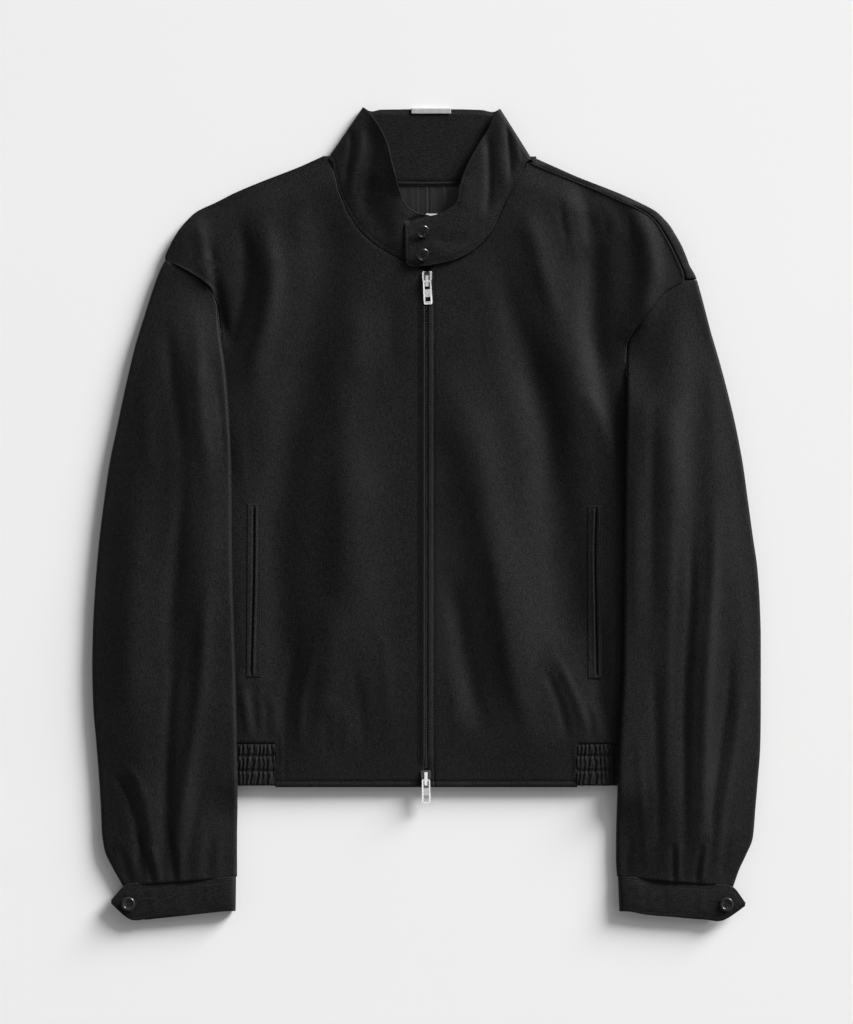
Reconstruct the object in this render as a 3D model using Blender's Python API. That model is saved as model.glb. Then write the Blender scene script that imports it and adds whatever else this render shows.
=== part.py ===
# Harrington jacket lying flat on its back, closed, front up.
# Sizes are millimetres on one pattern sheet: "across" runs to the wearer's left
# and "down" runs from collar to hem. Heights are measured up from the floor.

from collections import namedtuple
import math

import bpy
import numpy as np

for thing in list(bpy.data.objects):
    bpy.data.objects.remove(thing, do_unlink=True)

MM = 0.001
CENTRE_ACROSS = 426.5
CENTRE_DOWN = 514.0

SEAM_GAP = 0.3
BACK_CLOTH = 1.6
FRONT_CLOTH = 1.8
SLEEVE_CLOTH = 1.5
COLLAR_CLOTH = 2.4
CUFF_CLOTH = 2.4
ELASTIC_CLOTH = 1.6

EDGE_HEIGHT = 1.9
SIDE_HEIGHT = 8.2
CHEST_HEIGHT = 10.5
HEM_HEIGHT = 7.2
CAP_HEIGHT = 10.2
HEM_DOWN = 787.0
ELASTIC_TOP_DOWN = 743.5
FRONT_COLUMNS = 14
ELASTIC_COLUMN = 4
SLEEVE_FOLD_RADIUS = 3.5
SLEEVE_LIFT = 1.5

Row = namedtuple("Row", "down outer inner")
Station = namedtuple("Station", "outer_across outer_down inner_across inner_down loft")
Fold = namedtuple("Fold", "panel rise half_width path")
Band = namedtuple("Band", "seam_across seam_down seam_height edge_across edge_down edge_height")

# Wearer's right front: shoulder, armhole seam, hidden armhole, side seam.
FRONT_RIGHT = [
    Row(156.0, 323.5, 329.8),
    Row(160.5, 313.7, 330.8),
    Row(168.0, 296.8, 332.6),
    Row(176.0, 276.0, 334.6),
    Row(184.0, 255.5, 336.6),
    Row(193.0, 234.3, 338.7),
    Row(202.0, 216.8, 342.4),
    Row(212.0, 196.2, 346.4),
    Row(221.0, 186.6, 351.8),
    Row(230.0, 179.2, 357.8),
    Row(245.0, 170.6, 373.7),
    Row(259.0, 165.2, 398.5),
    Row(265.0, 177.0, 413.5),
    Row(272.0, 190.0, 424.6),
    Row(281.0, 204.0, 425.0),
    Row(289.0, 212.0, 425.1),
    Row(297.0, 214.3, 425.2),
    Row(304.3, 217.0, 425.2),
    Row(322.0, 219.6, 425.2),
    Row(338.0, 221.8, 425.2),
    Row(348.0, 214.0, 425.2),
    Row(370.0, 198.0, 425.2),
    Row(395.0, 184.0, 425.1),
    Row(418.0, 178.0, 425.1),
    Row(750.0, 216.7, 424.9),
    Row(787.0, 221.0, 422.3),
]

# Wearer's left front, up to the forward shoulder seam.
FRONT_LEFT = [
    Row(163.6, 530.4, 527.0),
    Row(170.0, 545.0, 523.9),
    Row(177.0, 562.5, 519.9),
    Row(187.0, 587.6, 514.4),
    Row(196.0, 608.0, 509.6),
    Row(203.0, 623.0, 506.2),
    Row(210.0, 638.0, 503.0),
    Row(218.0, 651.3, 499.5),
    Row(226.0, 658.3, 495.3),
    Row(233.0, 662.5, 491.6),
    Row(246.0, 670.0, 480.8),
    Row(258.0, 676.0, 461.6),
    Row(266.4, 679.8, 432.8),
    Row(273.0, 682.5, 428.9),
    Row(279.6, 683.6, 428.8),
    Row(288.0, 670.0, 428.7),
    Row(296.0, 660.0, 428.7),
    Row(310.0, 650.0, 428.7),
    Row(323.0, 640.0, 428.7),
    Row(335.0, 631.0, 428.7),
    Row(344.0, 627.0, 428.7),
    Row(365.0, 625.8, 428.7),
    Row(375.0, 625.6, 428.7),
    Row(390.0, 640.0, 428.7),
    Row(410.0, 661.0, 428.7),
    Row(430.0, 675.0, 428.7),
    Row(750.0, 636.4, 428.6),
    Row(787.0, 632.0, 429.4),
]

# Rows across both fronts below the armholes, then at the elastic inserts and the hem.
PLAIN_ROWS = [440.0, 464.0, 488.0, 512.0, 536.0, 560.0, 584.0, 608.0, 632.0, 655.0, 677.0, 698.0]
PLAIN_ROWS = PLAIN_ROWS + [717.0, 732.0]
HEM_ROWS = [ELASTIC_TOP_DOWN, 755.5, 769.5, 780.5, HEM_DOWN]

# Where the shoulders lie on the floor, from the neck to the sleeve.
SHOULDER_RIGHT = [
    (331, 154), (306, 164), (276, 176), (246, 188), (221, 200), (196, 212), (184, 224), (175, 236),
    (165, 259),
]
SHOULDER_LEFT = [
    (529, 154), (549, 164), (576, 176), (607, 188), (635, 200), (657, 212), (669, 224), (680, 242),
    (690, 266), (697, 278),
]
# Armhole seams, and the folds where the sleeve caps drop to the chest.
ARMHOLE_RIGHT = [
    (165.2, 259), (177, 265), (190, 272), (204, 281), (212, 289), (214.3, 297), (217, 304.3),
]
ARMHOLE_LEFT = [
    (697, 279.4), (683.6, 279.6), (670, 288), (660, 296), (650, 310), (640, 323), (631, 335),
    (627, 344),
]
CAP_FOLD_RIGHT = [(197, 200), (196, 230), (200, 244), (208, 260), (214, 281), (217, 312)]
CAP_FOLD_LEFT = [(649, 214), (645, 246), (640, 270), (634, 297), (630, 317), (627, 346)]

# The inner edges of the sleeves, where they lie on the fronts.
SLEEVE_EDGE_RIGHT = [
    (196, 200), (217, 304), (221, 337), (225, 364), (228, 391), (232, 464), (232.5, 567), (235, 640),
    (237, 718), (238, 787),
]
SLEEVE_EDGE_LEFT = [
    (649, 214), (627, 344), (625.5, 391), (624, 485), (623.5, 567), (622, 675), (618.5, 740),
    (617, 787),
]

# Sleeves from the armhole to the cuff; loft is how far the middle stands up.
SLEEVE_RIGHT = [
    Station(165.2, 260.0, 217.0, 305.1, 4.0),
    Station(160.0, 270.0, 218.4, 319.0, 6.0),
    Station(153.5, 287.0, 221.0, 338.0, 8.0),
    Station(144.5, 315.0, 225.0, 362.0, 10.0),
    Station(134.8, 347.0, 228.0, 391.0, 11.5),
    Station(126.0, 384.0, 230.3, 425.0, 12.0),
    Station(117.5, 424.0, 232.0, 464.0, 12.5),
    Station(109.5, 463.0, 232.4, 500.0, 12.5),
    Station(103.5, 504.0, 232.5, 535.0, 13.0),
    Station(98.6, 545.0, 233.0, 567.0, 13.0),
    Station(95.0, 588.0, 234.0, 605.0, 13.0),
    Station(92.8, 628.0, 235.2, 645.0, 12.5),
    Station(92.0, 666.0, 236.2, 682.0, 12.0),
    Station(93.0, 706.0, 237.0, 718.0, 12.0),
    Station(96.0, 742.0, 237.7, 752.0, 11.5),
    Station(98.6, 775.0, 238.0, 784.0, 11.0),
    Station(100.5, 805.0, 237.5, 812.0, 10.5),
    Station(101.7, 833.0, 237.0, 836.0, 9.5),
    Station(104.2, 851.0, 237.0, 852.0, 8.5),
    Station(110.3, 867.0, 237.0, 864.0, 7.0),
    Station(117.0, 884.4, 237.0, 875.0, 5.0),
]

SLEEVE_LEFT = [
    Station(697.0, 280.2, 627.0, 344.9, 4.0),
    Station(699.6, 289.0, 626.7, 357.0, 6.0),
    Station(704.0, 305.0, 626.3, 374.0, 8.0),
    Station(710.5, 330.0, 625.7, 396.0, 10.0),
    Station(719.5, 361.0, 625.2, 424.0, 11.5),
    Station(728.0, 393.0, 624.7, 455.0, 12.0),
    Station(736.0, 427.0, 624.2, 487.0, 12.5),
    Station(743.0, 464.0, 623.8, 520.0, 12.5),
    Station(748.0, 500.0, 623.6, 550.0, 13.0),
    Station(752.8, 535.0, 623.4, 580.0, 13.0),
    Station(757.7, 570.0, 623.0, 612.0, 13.0),
    Station(760.0, 604.0, 622.5, 644.0, 12.5),
    Station(761.0, 640.0, 622.0, 676.0, 12.0),
    Station(761.0, 677.0, 620.5, 704.0, 12.0),
    Station(761.0, 712.0, 618.8, 735.0, 11.5),
    Station(760.5, 746.0, 617.6, 764.0, 11.0),
    Station(758.0, 780.0, 617.0, 792.0, 11.0),
    Station(755.5, 810.0, 616.5, 818.0, 10.5),
    Station(753.0, 838.0, 616.1, 842.0, 9.5),
    Station(746.3, 855.0, 616.0, 857.0, 8.5),
    Station(739.7, 869.0, 616.3, 867.0, 7.0),
    Station(733.5, 885.4, 617.0, 874.9, 5.0),
]

# Troughs and ridges in the cloth; a trough has a rise below zero.
FOLDS = [
    Fold("front_right", -2.2, 10.0, ((234, 212), (244, 250), (247, 285), (241, 320), (231, 352))),
    Fold("front_right", 2.6, 12.0, ((262, 212), (270, 250), (271, 285), (264, 320), (252, 352), (240, 395))),
    Fold("front_right", -3.2, 19.0, ((301, 300), (290, 420), (282, 520), (283, 620), (285, 700), (284, 745))),
    Fold("front_right", 2.8, 21.0, ((347, 290), (348, 500), (346, 590), (333, 645), (314, 695), (307, 760))),
    Fold("front_left", 3.4, 14.0, ((527, 218), (538, 262), (552, 310), (568, 360), (586, 412), (602, 456))),
    Fold("front_left", -3.0, 15.0, ((497, 245), (508, 300), (522, 360), (542, 425), (562, 490), (573, 545))),
    Fold("front_left", -2.8, 13.0, ((577, 232), (587, 280), (596, 330), (606, 385), (612, 430))),
    Fold("front_left", -2.4, 15.0, ((573, 545), (577, 600), (590, 655), (603, 712))),
    Fold("front_left", 2.6, 17.0, ((471, 400), (477, 480), (486, 545), (500, 610), (517, 677), (531, 740))),
    Fold("front_left", -2.4, 13.0, ((450, 548), (463, 620), (476, 680), (487, 728))),
    Fold("front_left", 1.6, 9.0, ((550, 656), (566, 686), (580, 717), (587, 742))),
    Fold("front_left", -1.6, 8.0, ((538, 664), (552, 698), (566, 736))),
    Fold("sleeve_right", -3.6, 7.0, ((145, 884), (142, 859), (138, 824), (127, 792), (112, 768))),
    Fold("sleeve_right", 2.4, 8.0, ((153, 884), (152, 845), (148, 802), (136, 774), (116, 752))),
    Fold("sleeve_right", -4.2, 10.0, ((168, 884), (167, 850), (166, 780), (166, 700), (170, 600), (178, 500))),
    Fold("sleeve_right", 3.0, 10.0, ((179, 884), (181, 825), (189, 768), (197, 720), (204, 640), (211, 500))),
    Fold("sleeve_right", -2.2, 10.0, ((168, 330), (171, 400), (176, 465))),
    Fold("sleeve_right", 1.6, 10.0, ((195, 350), (199, 420), (206, 470))),
    Fold("sleeve_right", 1.6, 14.0, ((140, 500), (135, 600), (135, 700))),
    Fold("sleeve_left", -3.4, 10.0, ((695, 300), (696, 420), (693, 540), (682, 700), (682, 790), (684, 884))),
    Fold("sleeve_left", 2.6, 10.0, ((667, 300), (671, 400), (670, 520), (667, 640), (666, 760), (668, 880))),
    Fold("sleeve_left", 2.6, 8.0, ((709, 520), (707, 600), (699, 720), (698, 790), (696, 884))),
    Fold("sleeve_left", -2.8, 7.0, ((726, 560), (725, 640), (720, 700), (713, 760), (703, 880))),
    Fold("sleeve_left", 2.4, 8.0, ((744, 640), (738, 700), (730, 758), (721, 808), (713, 876))),
    Fold("sleeve_left", -1.4, 10.0, ((654, 420), (654, 600), (652, 780), (650, 860))),
]

# Collar: one band from the hidden right end, round the back, to the left tab.
COLLAR = [
    Band(426.0, 266.6, 11.0, 437.0, 219.6, 11.0),
    Band(414.0, 264.6, 11.0, 427.5, 215.2, 11.0),
    Band(403.2, 259.8, 11.0, 416.5, 212.6, 11.2),
    Band(388.0, 252.8, 10.9, 406.0, 205.2, 11.4),
    Band(374.4, 244.4, 10.8, 400.2, 193.0, 11.6),
    Band(358.6, 229.7, 10.6, 396.8, 180.0, 11.6),
    Band(347.4, 212.8, 10.2, 392.8, 165.0, 11.4),
    Band(339.8, 194.0, 9.6, 387.0, 142.0, 11.0),
    Band(336.4, 177.0, 8.6, 377.0, 123.0, 10.0),
    Band(335.6, 163.2, 7.6, 366.6, 110.2, 8.6),
    Band(336.0, 163.2, 1.2, 367.0, 109.2, 1.2),
    Band(346.0, 171.2, 1.2, 381.0, 109.0, 1.2),
    Band(370.0, 180.6, 1.2, 396.0, 108.8, 1.2),
    Band(397.0, 183.6, 1.2, 412.0, 108.6, 1.2),
    Band(428.5, 183.8, 1.2, 430.0, 108.6, 1.2),
    Band(460.0, 183.6, 1.2, 449.0, 108.6, 1.2),
    Band(488.0, 180.4, 1.2, 466.0, 108.8, 1.2),
    Band(512.0, 171.0, 1.2, 482.0, 109.4, 1.2),
    Band(523.4, 162.6, 1.2, 496.4, 110.4, 1.2),
    Band(523.8, 162.8, 7.6, 496.8, 111.6, 8.6),
    Band(520.6, 173.6, 8.6, 488.0, 129.0, 10.0),
    Band(514.0, 187.0, 9.8, 480.0, 141.6, 11.0),
    Band(506.0, 202.0, 10.4, 471.0, 157.0, 11.8),
    Band(499.0, 217.6, 10.8, 463.4, 173.5, 12.6),
    Band(491.0, 232.8, 11.4, 459.2, 187.0, 13.2),
    Band(477.8, 247.8, 12.2, 456.6, 201.4, 13.8),
    Band(456.8, 259.8, 13.6, 443.4, 212.6, 14.2),
    Band(432.0, 266.0, 14.3, 430.6, 217.0, 14.4),
    Band(417.0, 267.4, 14.4, 418.6, 220.0, 14.4),
    Band(409.2, 267.0, 14.4, 409.5, 222.6, 14.4),
    Band(405.8, 262.0, 14.4, 404.6, 225.0, 14.4),
]

# Cuffs: from the pointed end, round the inner fold, to the end underneath.
CUFF_RIGHT = [
    Band(111.8, 899.9, 9.4, 112.0, 902.8, 9.4),
    Band(118.0, 892.2, 9.4, 119.6, 910.6, 9.4),
    Band(125.3, 884.6, 9.4, 129.2, 918.2, 9.4),
    Band(153.0, 882.7, 9.4, 155.0, 916.9, 9.4),
    Band(181.0, 880.4, 9.4, 183.0, 914.7, 9.4),
    Band(209.0, 878.0, 9.4, 210.0, 912.3, 9.4),
    Band(231.0, 876.2, 9.4, 230.6, 910.6, 9.4),
    Band(231.0, 876.2, 1.2, 230.6, 911.2, 1.2),
    Band(209.0, 878.2, 1.2, 210.0, 913.4, 1.2),
    Band(181.0, 880.6, 1.2, 183.0, 916.4, 1.2),
    Band(153.0, 883.0, 1.2, 155.0, 919.3, 1.2),
    Band(143.8, 883.9, 1.2, 144.2, 920.5, 1.2),
]
CUFF_LEFT = [
    Band(744.6, 902.4, 9.4, 744.4, 905.2, 9.4),
    Band(739.5, 894.5, 9.4, 736.0, 911.8, 9.4),
    Band(732.6, 886.4, 9.4, 724.0, 919.3, 9.4),
    Band(704.0, 883.6, 9.4, 700.0, 918.0, 9.4),
    Band(676.0, 881.0, 9.4, 673.0, 916.4, 9.4),
    Band(648.0, 878.4, 9.4, 646.0, 914.2, 9.4),
    Band(623.0, 876.1, 9.4, 624.5, 910.8, 9.4),
    Band(623.0, 876.1, 1.2, 624.5, 911.4, 1.2),
    Band(648.0, 878.6, 1.2, 646.0, 914.9, 1.2),
    Band(676.0, 881.2, 1.2, 673.0, 917.6, 1.2),
    Band(704.0, 883.8, 1.2, 700.0, 919.9, 1.2),
    Band(710.5, 884.4, 1.2, 710.5, 920.6, 1.2),
]


def smooth(start, end, value):
    share = np.clip((np.asarray(value, float) - start) / (end - start), 0.0, 1.0)
    return share * share * (3.0 - 2.0 * share)


def along_path(path, across, down):
    # Distance to a path, and how far along it the nearest place lies.
    path = np.asarray(path, float)
    lengths = np.linalg.norm(np.diff(path, axis=0), axis=1)
    befores = np.concatenate([[0.0], np.cumsum(lengths)])
    across = np.asarray(across, float)
    down = np.asarray(down, float)
    nearest = np.full(np.broadcast(across, down).shape, np.inf)
    place = np.zeros(nearest.shape)
    for start, end, length, before in zip(path[:-1], path[1:], lengths, befores):
        step = (end - start) / length
        reach = (across - start[0]) * step[0] + (down - start[1]) * step[1]
        reach = np.clip(reach, 0.0, length)
        gap = np.hypot(across - start[0] - reach * step[0], down - start[1] - reach * step[1])
        place = np.where(gap < nearest, before + reach, place)
        nearest = np.minimum(gap, nearest)
    return nearest, place / befores[-1]


def across_at(path, down):
    # Where a path that runs downwards lies across at this height of the sheet.
    return np.interp(down, [point[1] for point in path], [point[0] for point in path])


def fold_rise(panel, across, down):
    rise = 0.0
    for fold in FOLDS:
        if fold.panel != panel:
            continue
        gap, place = along_path(fold.path, across, down)
        ends = 0.45 + 0.55 * smooth(0.0, 0.25, place) * smooth(1.0, 0.75, place)
        rise = rise + fold.rise * ends * np.exp(-((gap / fold.half_width) ** 2))
    return rise


def front_rows(panel):
    return FRONT_RIGHT if panel == "front_right" else FRONT_LEFT


def outer_at(panel, down):
    rows = front_rows(panel)
    return np.interp(down, [row.down for row in rows], [row.outer for row in rows])


def inner_at(panel, down):
    rows = front_rows(panel)
    return np.interp(down, [row.down for row in rows], [row.inner for row in rows])


def front_underside(panel, across, down):
    right = panel == "front_right"
    side = 1.0 if right else -1.0
    sleeve_edge = across_at(SLEEVE_EDGE_RIGHT if right else SLEEVE_EDGE_LEFT, down)
    outer = outer_at(panel, down)
    shown = side * (across - sleeve_edge)
    hidden_share = side * (across - outer) / np.maximum(side * (sleeve_edge - outer), 1.0)
    height = EDGE_HEIGHT + (SIDE_HEIGHT - EDGE_HEIGHT) * smooth(0.0, 1.0, hidden_share)
    height = height + (CHEST_HEIGHT - SIDE_HEIGHT) * smooth(0.0, 70.0, shown)
    from_shoulder, _ = along_path(SHOULDER_RIGHT if right else SHOULDER_LEFT, across, down)
    height = EDGE_HEIGHT + (height - EDGE_HEIGHT) * smooth(-6.0, 30.0, from_shoulder)
    # The sleeve cap stands up beside the chest, down to where the sleeve folds over.
    cap_edge = across_at(CAP_FOLD_RIGHT if right else CAP_FOLD_LEFT, down)
    cap_end = 312.0 if right else 352.0
    in_cap = smooth(6.0, -5.0, side * (across - cap_edge)) * smooth(cap_end, cap_end - 45.0, down)
    cap = EDGE_HEIGHT + (CAP_HEIGHT - EDGE_HEIGHT) * smooth(-6.0, 14.0, from_shoulder)
    height = height * (1.0 - in_cap) + cap * in_cap
    at_hem = smooth(715.0, HEM_DOWN, down)
    height = height - np.maximum(height - HEM_HEIGHT, 0.0) * at_hem
    height = height + fold_rise(panel, across, down) * smooth(-4.0, 12.0, shown)
    return np.maximum(height, EDGE_HEIGHT)


def sleeve_clearance(side_name, across, down):
    # The floor beside the body, and the top of the front where the sleeve lies on it.
    panel = "front_" + side_name
    side = 1.0 if side_name == "right" else -1.0
    past = side * (across - outer_at(panel, down))
    over = np.where(past > 0.0, across, outer_at(panel, down))
    top = front_underside(panel, over, down) + FRONT_CLOTH + SLEEVE_LIFT
    # Beside the armhole seam the sleeve still lies next to the body.
    first = 311.0 if side_name == "right" else 350.0
    return top * smooth(-18.0, -1.5, past) * smooth(811.0, 790.0, down) * smooth(first, first + 25.0, down)


def at(across, down, height):
    across, down, height = np.broadcast_arrays(across, down, height)
    return np.stack([across - CENTRE_ACROSS, CENTRE_DOWN - down, height], axis=-1).astype(float)


def new_object(name, points, faces, material, origin=(0.0, 0.0, 0.0)):
    points = np.asarray(points, float)
    used = sorted({index for face in faces for index in face})
    renumbered = {old: new for new, old in enumerate(used)}
    faces = [[renumbered[index] for index in face] for face in faces]
    points = points[used]
    volume = 0.0
    for face in faces:
        for second, third in zip(face[1:-1], face[2:]):
            volume += np.dot(points[face[0]], np.cross(points[second], points[third]))
    if volume < 0.0:
        faces = [face[::-1] for face in faces]
    origin = np.asarray(origin, float)
    mesh = bpy.data.meshes.new(name)
    mesh.from_pydata(((points - origin) * MM).tolist(), [], faces)
    mesh.validate()
    made = bpy.data.objects.new(name, mesh)
    made.location = origin * MM
    bpy.context.scene.collection.objects.link(made)
    if material is not None:
        mesh.materials.append(material)
    return made


def wall(name, upper, lower, material, kept=None, origin=(0.0, 0.0, 0.0)):
    # A closed wall between two grids of points; cells that are not kept are left open.
    rows, columns = upper.shape[:2]
    count = rows * columns
    if kept is None:
        kept = np.ones((rows - 1, columns - 1), bool)
    points = np.concatenate([upper.reshape(-1, 3), lower.reshape(-1, 3)])
    faces = []

    def is_kept(row, column):
        return 0 <= row < rows - 1 and 0 <= column < columns - 1 and kept[row, column]

    for row in range(rows - 1):
        for column in range(columns - 1):
            if not kept[row, column]:
                continue
            a = row * columns + column
            b = a + 1
            c = b + columns
            d = a + columns
            faces.append([a, b, c, d])
            faces.append([d + count, c + count, b + count, a + count])
            beside = (
                (a, b, is_kept(row - 1, column)),
                (b, c, is_kept(row, column + 1)),
                (c, d, is_kept(row + 1, column)),
                (d, a, is_kept(row, column - 1)),
            )
            for start, end, joined in beside:
                if not joined:
                    faces.append([end, start, start + count, end + count])
    return new_object(name, points, faces, material, origin)


def tube(name, outer_rings, inner_rings, material):
    # An open-ended wall between an outer and an inner ring at each station.
    stations, around = outer_rings.shape[:2]
    count = stations * around
    points = np.concatenate([outer_rings.reshape(-1, 3), inner_rings.reshape(-1, 3)])
    faces = []
    for station in range(stations - 1):
        for place in range(around):
            a = station * around + place
            b = station * around + (place + 1) % around
            c = b + around
            d = a + around
            faces.append([a, b, c, d])
            faces.append([d + count, c + count, b + count, a + count])
    for station, turned in ((0, False), (stations - 1, True)):
        for place in range(around):
            a = station * around + place
            b = station * around + (place + 1) % around
            rim = [b, a, a + count, b + count]
            faces.append(rim[::-1] if turned else rim)
    return new_object(name, points, faces, material)


def shell(name, middle, thickness, material):
    # A wall of even thickness to both sides of a grid of points.
    along = np.gradient(middle, axis=0)
    over = np.gradient(middle, axis=1)
    normals = np.cross(along, over)
    normals = normals / np.linalg.norm(normals, axis=2, keepdims=True)
    half = normals * thickness / 2.0
    return wall(name, middle + half, middle - half, material)


def prism(name, outline, axis, start, end, material):
    # A flat outline pushed along one axis; the outline holds the other two, in order.
    count = len(outline)
    points = []
    for level in (start, end):
        for first, second in outline:
            place = [first, second]
            place.insert(axis, level)
            points.append(place)
    faces = [list(range(count)), list(range(2 * count - 1, count - 1, -1))]
    for corner in range(count):
        following = (corner + 1) % count
        faces.append([following, corner, corner + count, following + count])
    return new_object(name, points, faces, material)


def lathe(name, profile, centre, tilt, turn, material, steps=22):
    # A round piece from (radius, height) pairs, tipped about a line turned on the sheet.
    points = []
    for radius, height in profile:
        for step in range(steps):
            angle = 2.0 * math.pi * step / steps
            points.append([radius * math.cos(angle), radius * math.sin(angle), height])
    points = np.asarray(points)
    turned = np.array([
        [math.cos(turn), -math.sin(turn), 0.0],
        [math.sin(turn), math.cos(turn), 0.0],
        [0.0, 0.0, 1.0],
    ])
    tipped = np.array([
        [1.0, 0.0, 0.0],
        [0.0, math.cos(tilt), -math.sin(tilt)],
        [0.0, math.sin(tilt), math.cos(tilt)],
    ])
    points = points @ (turned @ tipped).T
    points = points + np.asarray(centre)
    faces = [list(range(steps))[::-1]]
    for ring in range(len(profile) - 1):
        for step in range(steps):
            following = (step + 1) % steps
            low = ring * steps
            faces.append([low + step, low + following, low + steps + following, low + steps + step])
    faces.append([(len(profile) - 1) * steps + step for step in range(steps)])
    return new_object(name, points, faces, material)


def material(name, colour, roughness, metallic=0.0):
    made = bpy.data.materials.new(name)
    made.use_nodes = True
    shader = made.node_tree.nodes["Principled BSDF"]
    shader.inputs["Base Color"].default_value = (*colour, 1.0)
    shader.inputs["Roughness"].default_value = roughness
    shader.inputs["Metallic"].default_value = metallic
    return made


def join(main, helper):
    helper.hide_render = True
    helper.display_type = "WIRE"
    union = main.modifiers.new("join_" + helper.name, "BOOLEAN")
    union.operation = "UNION"
    union.solver = "EXACT"
    union.object = helper


def front_grid(panel):
    table = front_rows(panel)
    downs = [row.down for row in table if row.down < 435.0] + PLAIN_ROWS + HEM_ROWS
    downs = np.array(downs)
    outer = outer_at(panel, downs)
    inner = inner_at(panel, downs)
    even = np.linspace(0.0, 1.0, FRONT_COLUMNS + 1)
    boundary = 275.5 if panel == "front_right" else 577.0
    corner = (boundary - outer) / (inner - outer)
    bent = np.empty((len(downs), FRONT_COLUMNS + 1))
    for column in range(FRONT_COLUMNS + 1):
        if column <= ELASTIC_COLUMN:
            bent[:, column] = corner * column / ELASTIC_COLUMN
        else:
            rest = (column - ELASTIC_COLUMN) / (FRONT_COLUMNS - ELASTIC_COLUMN)
            bent[:, column] = corner + (1.0 - corner) * rest
    mix = smooth(640.0, 715.0, downs)[:, None]
    shares = even[None, :] * (1.0 - mix) + bent * mix
    across = outer[:, None] + (inner - outer)[:, None] * shares
    down = np.repeat(downs[:, None], FRONT_COLUMNS + 1, axis=1)
    under = front_underside(panel, across, down)
    return downs, across, under


def read_height(grid, across, down):
    # The height of a panel's underside, read between its own points.
    downs, acrosses, under = grid
    across, down = np.broadcast_arrays(np.asarray(across, float), np.asarray(down, float))
    heights = np.empty(across.shape)
    order = 1 if acrosses[-1, 0] < acrosses[-1, -1] else -1
    for place in np.ndindex(across.shape):
        row = int(np.clip(np.searchsorted(downs, down[place]) - 1, 0, len(downs) - 2))
        share = (down[place] - downs[row]) / (downs[row + 1] - downs[row])
        first = np.interp(across[place], acrosses[row, ::order], under[row, ::order])
        second = np.interp(across[place], acrosses[row + 1, ::order], under[row + 1, ::order])
        heights[place] = first + (second - first) * np.clip(share, 0.0, 1.0)
    return heights


def build_front(panel, cloth):
    grid = front_grid(panel)
    downs, across, under = grid
    down = np.repeat(downs[:, None], FRONT_COLUMNS + 1, axis=1)
    kept = np.ones((len(downs) - 1, FRONT_COLUMNS), bool)
    at_elastic = downs[:-1] >= ELASTIC_TOP_DOWN - 0.1
    kept[at_elastic, :ELASTIC_COLUMN] = False
    wall(panel, at(across, down, under + FRONT_CLOTH), at(across, down, under), cloth, kept)
    return grid


def build_elastic(name, panel, cloth):
    right = panel == "front_right"
    side = 1.0 if right else -1.0
    downs = np.array([743.9, 749.5, 755.6, 763.0, 770.2, 777.5, 785.4])
    ribbed = np.array([0.3, 1.0, 0.35, 1.0, 0.35, 1.0, 0.4])
    boundary = 275.5 - SEAM_GAP if right else 577.0 + SEAM_GAP
    outer = outer_at(panel, downs) + side * 0.3
    shares = np.linspace(0.0, 1.0, 25)
    across = outer[:, None] + (boundary - outer)[:, None] * shares
    down = np.repeat(downs[:, None], len(shares), axis=1)
    under = front_underside(panel, across, down)
    slant = 0.06 * (down - 764.0) * np.sin(across * 0.11)
    wave = 0.5 + 0.5 * np.cos(2.0 * math.pi * (across + slant) / 5.1)
    sleeve_edge = across_at(SLEEVE_EDGE_RIGHT if right else SLEEVE_EDGE_LEFT, down)
    shown = smooth(-9.0, 3.0, side * (across - sleeve_edge))
    upper = under + ELASTIC_CLOTH + 1.1 * wave * ribbed[:, None] * shown
    wall(name, at(across, down, upper), at(across, down, under), cloth)


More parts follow.
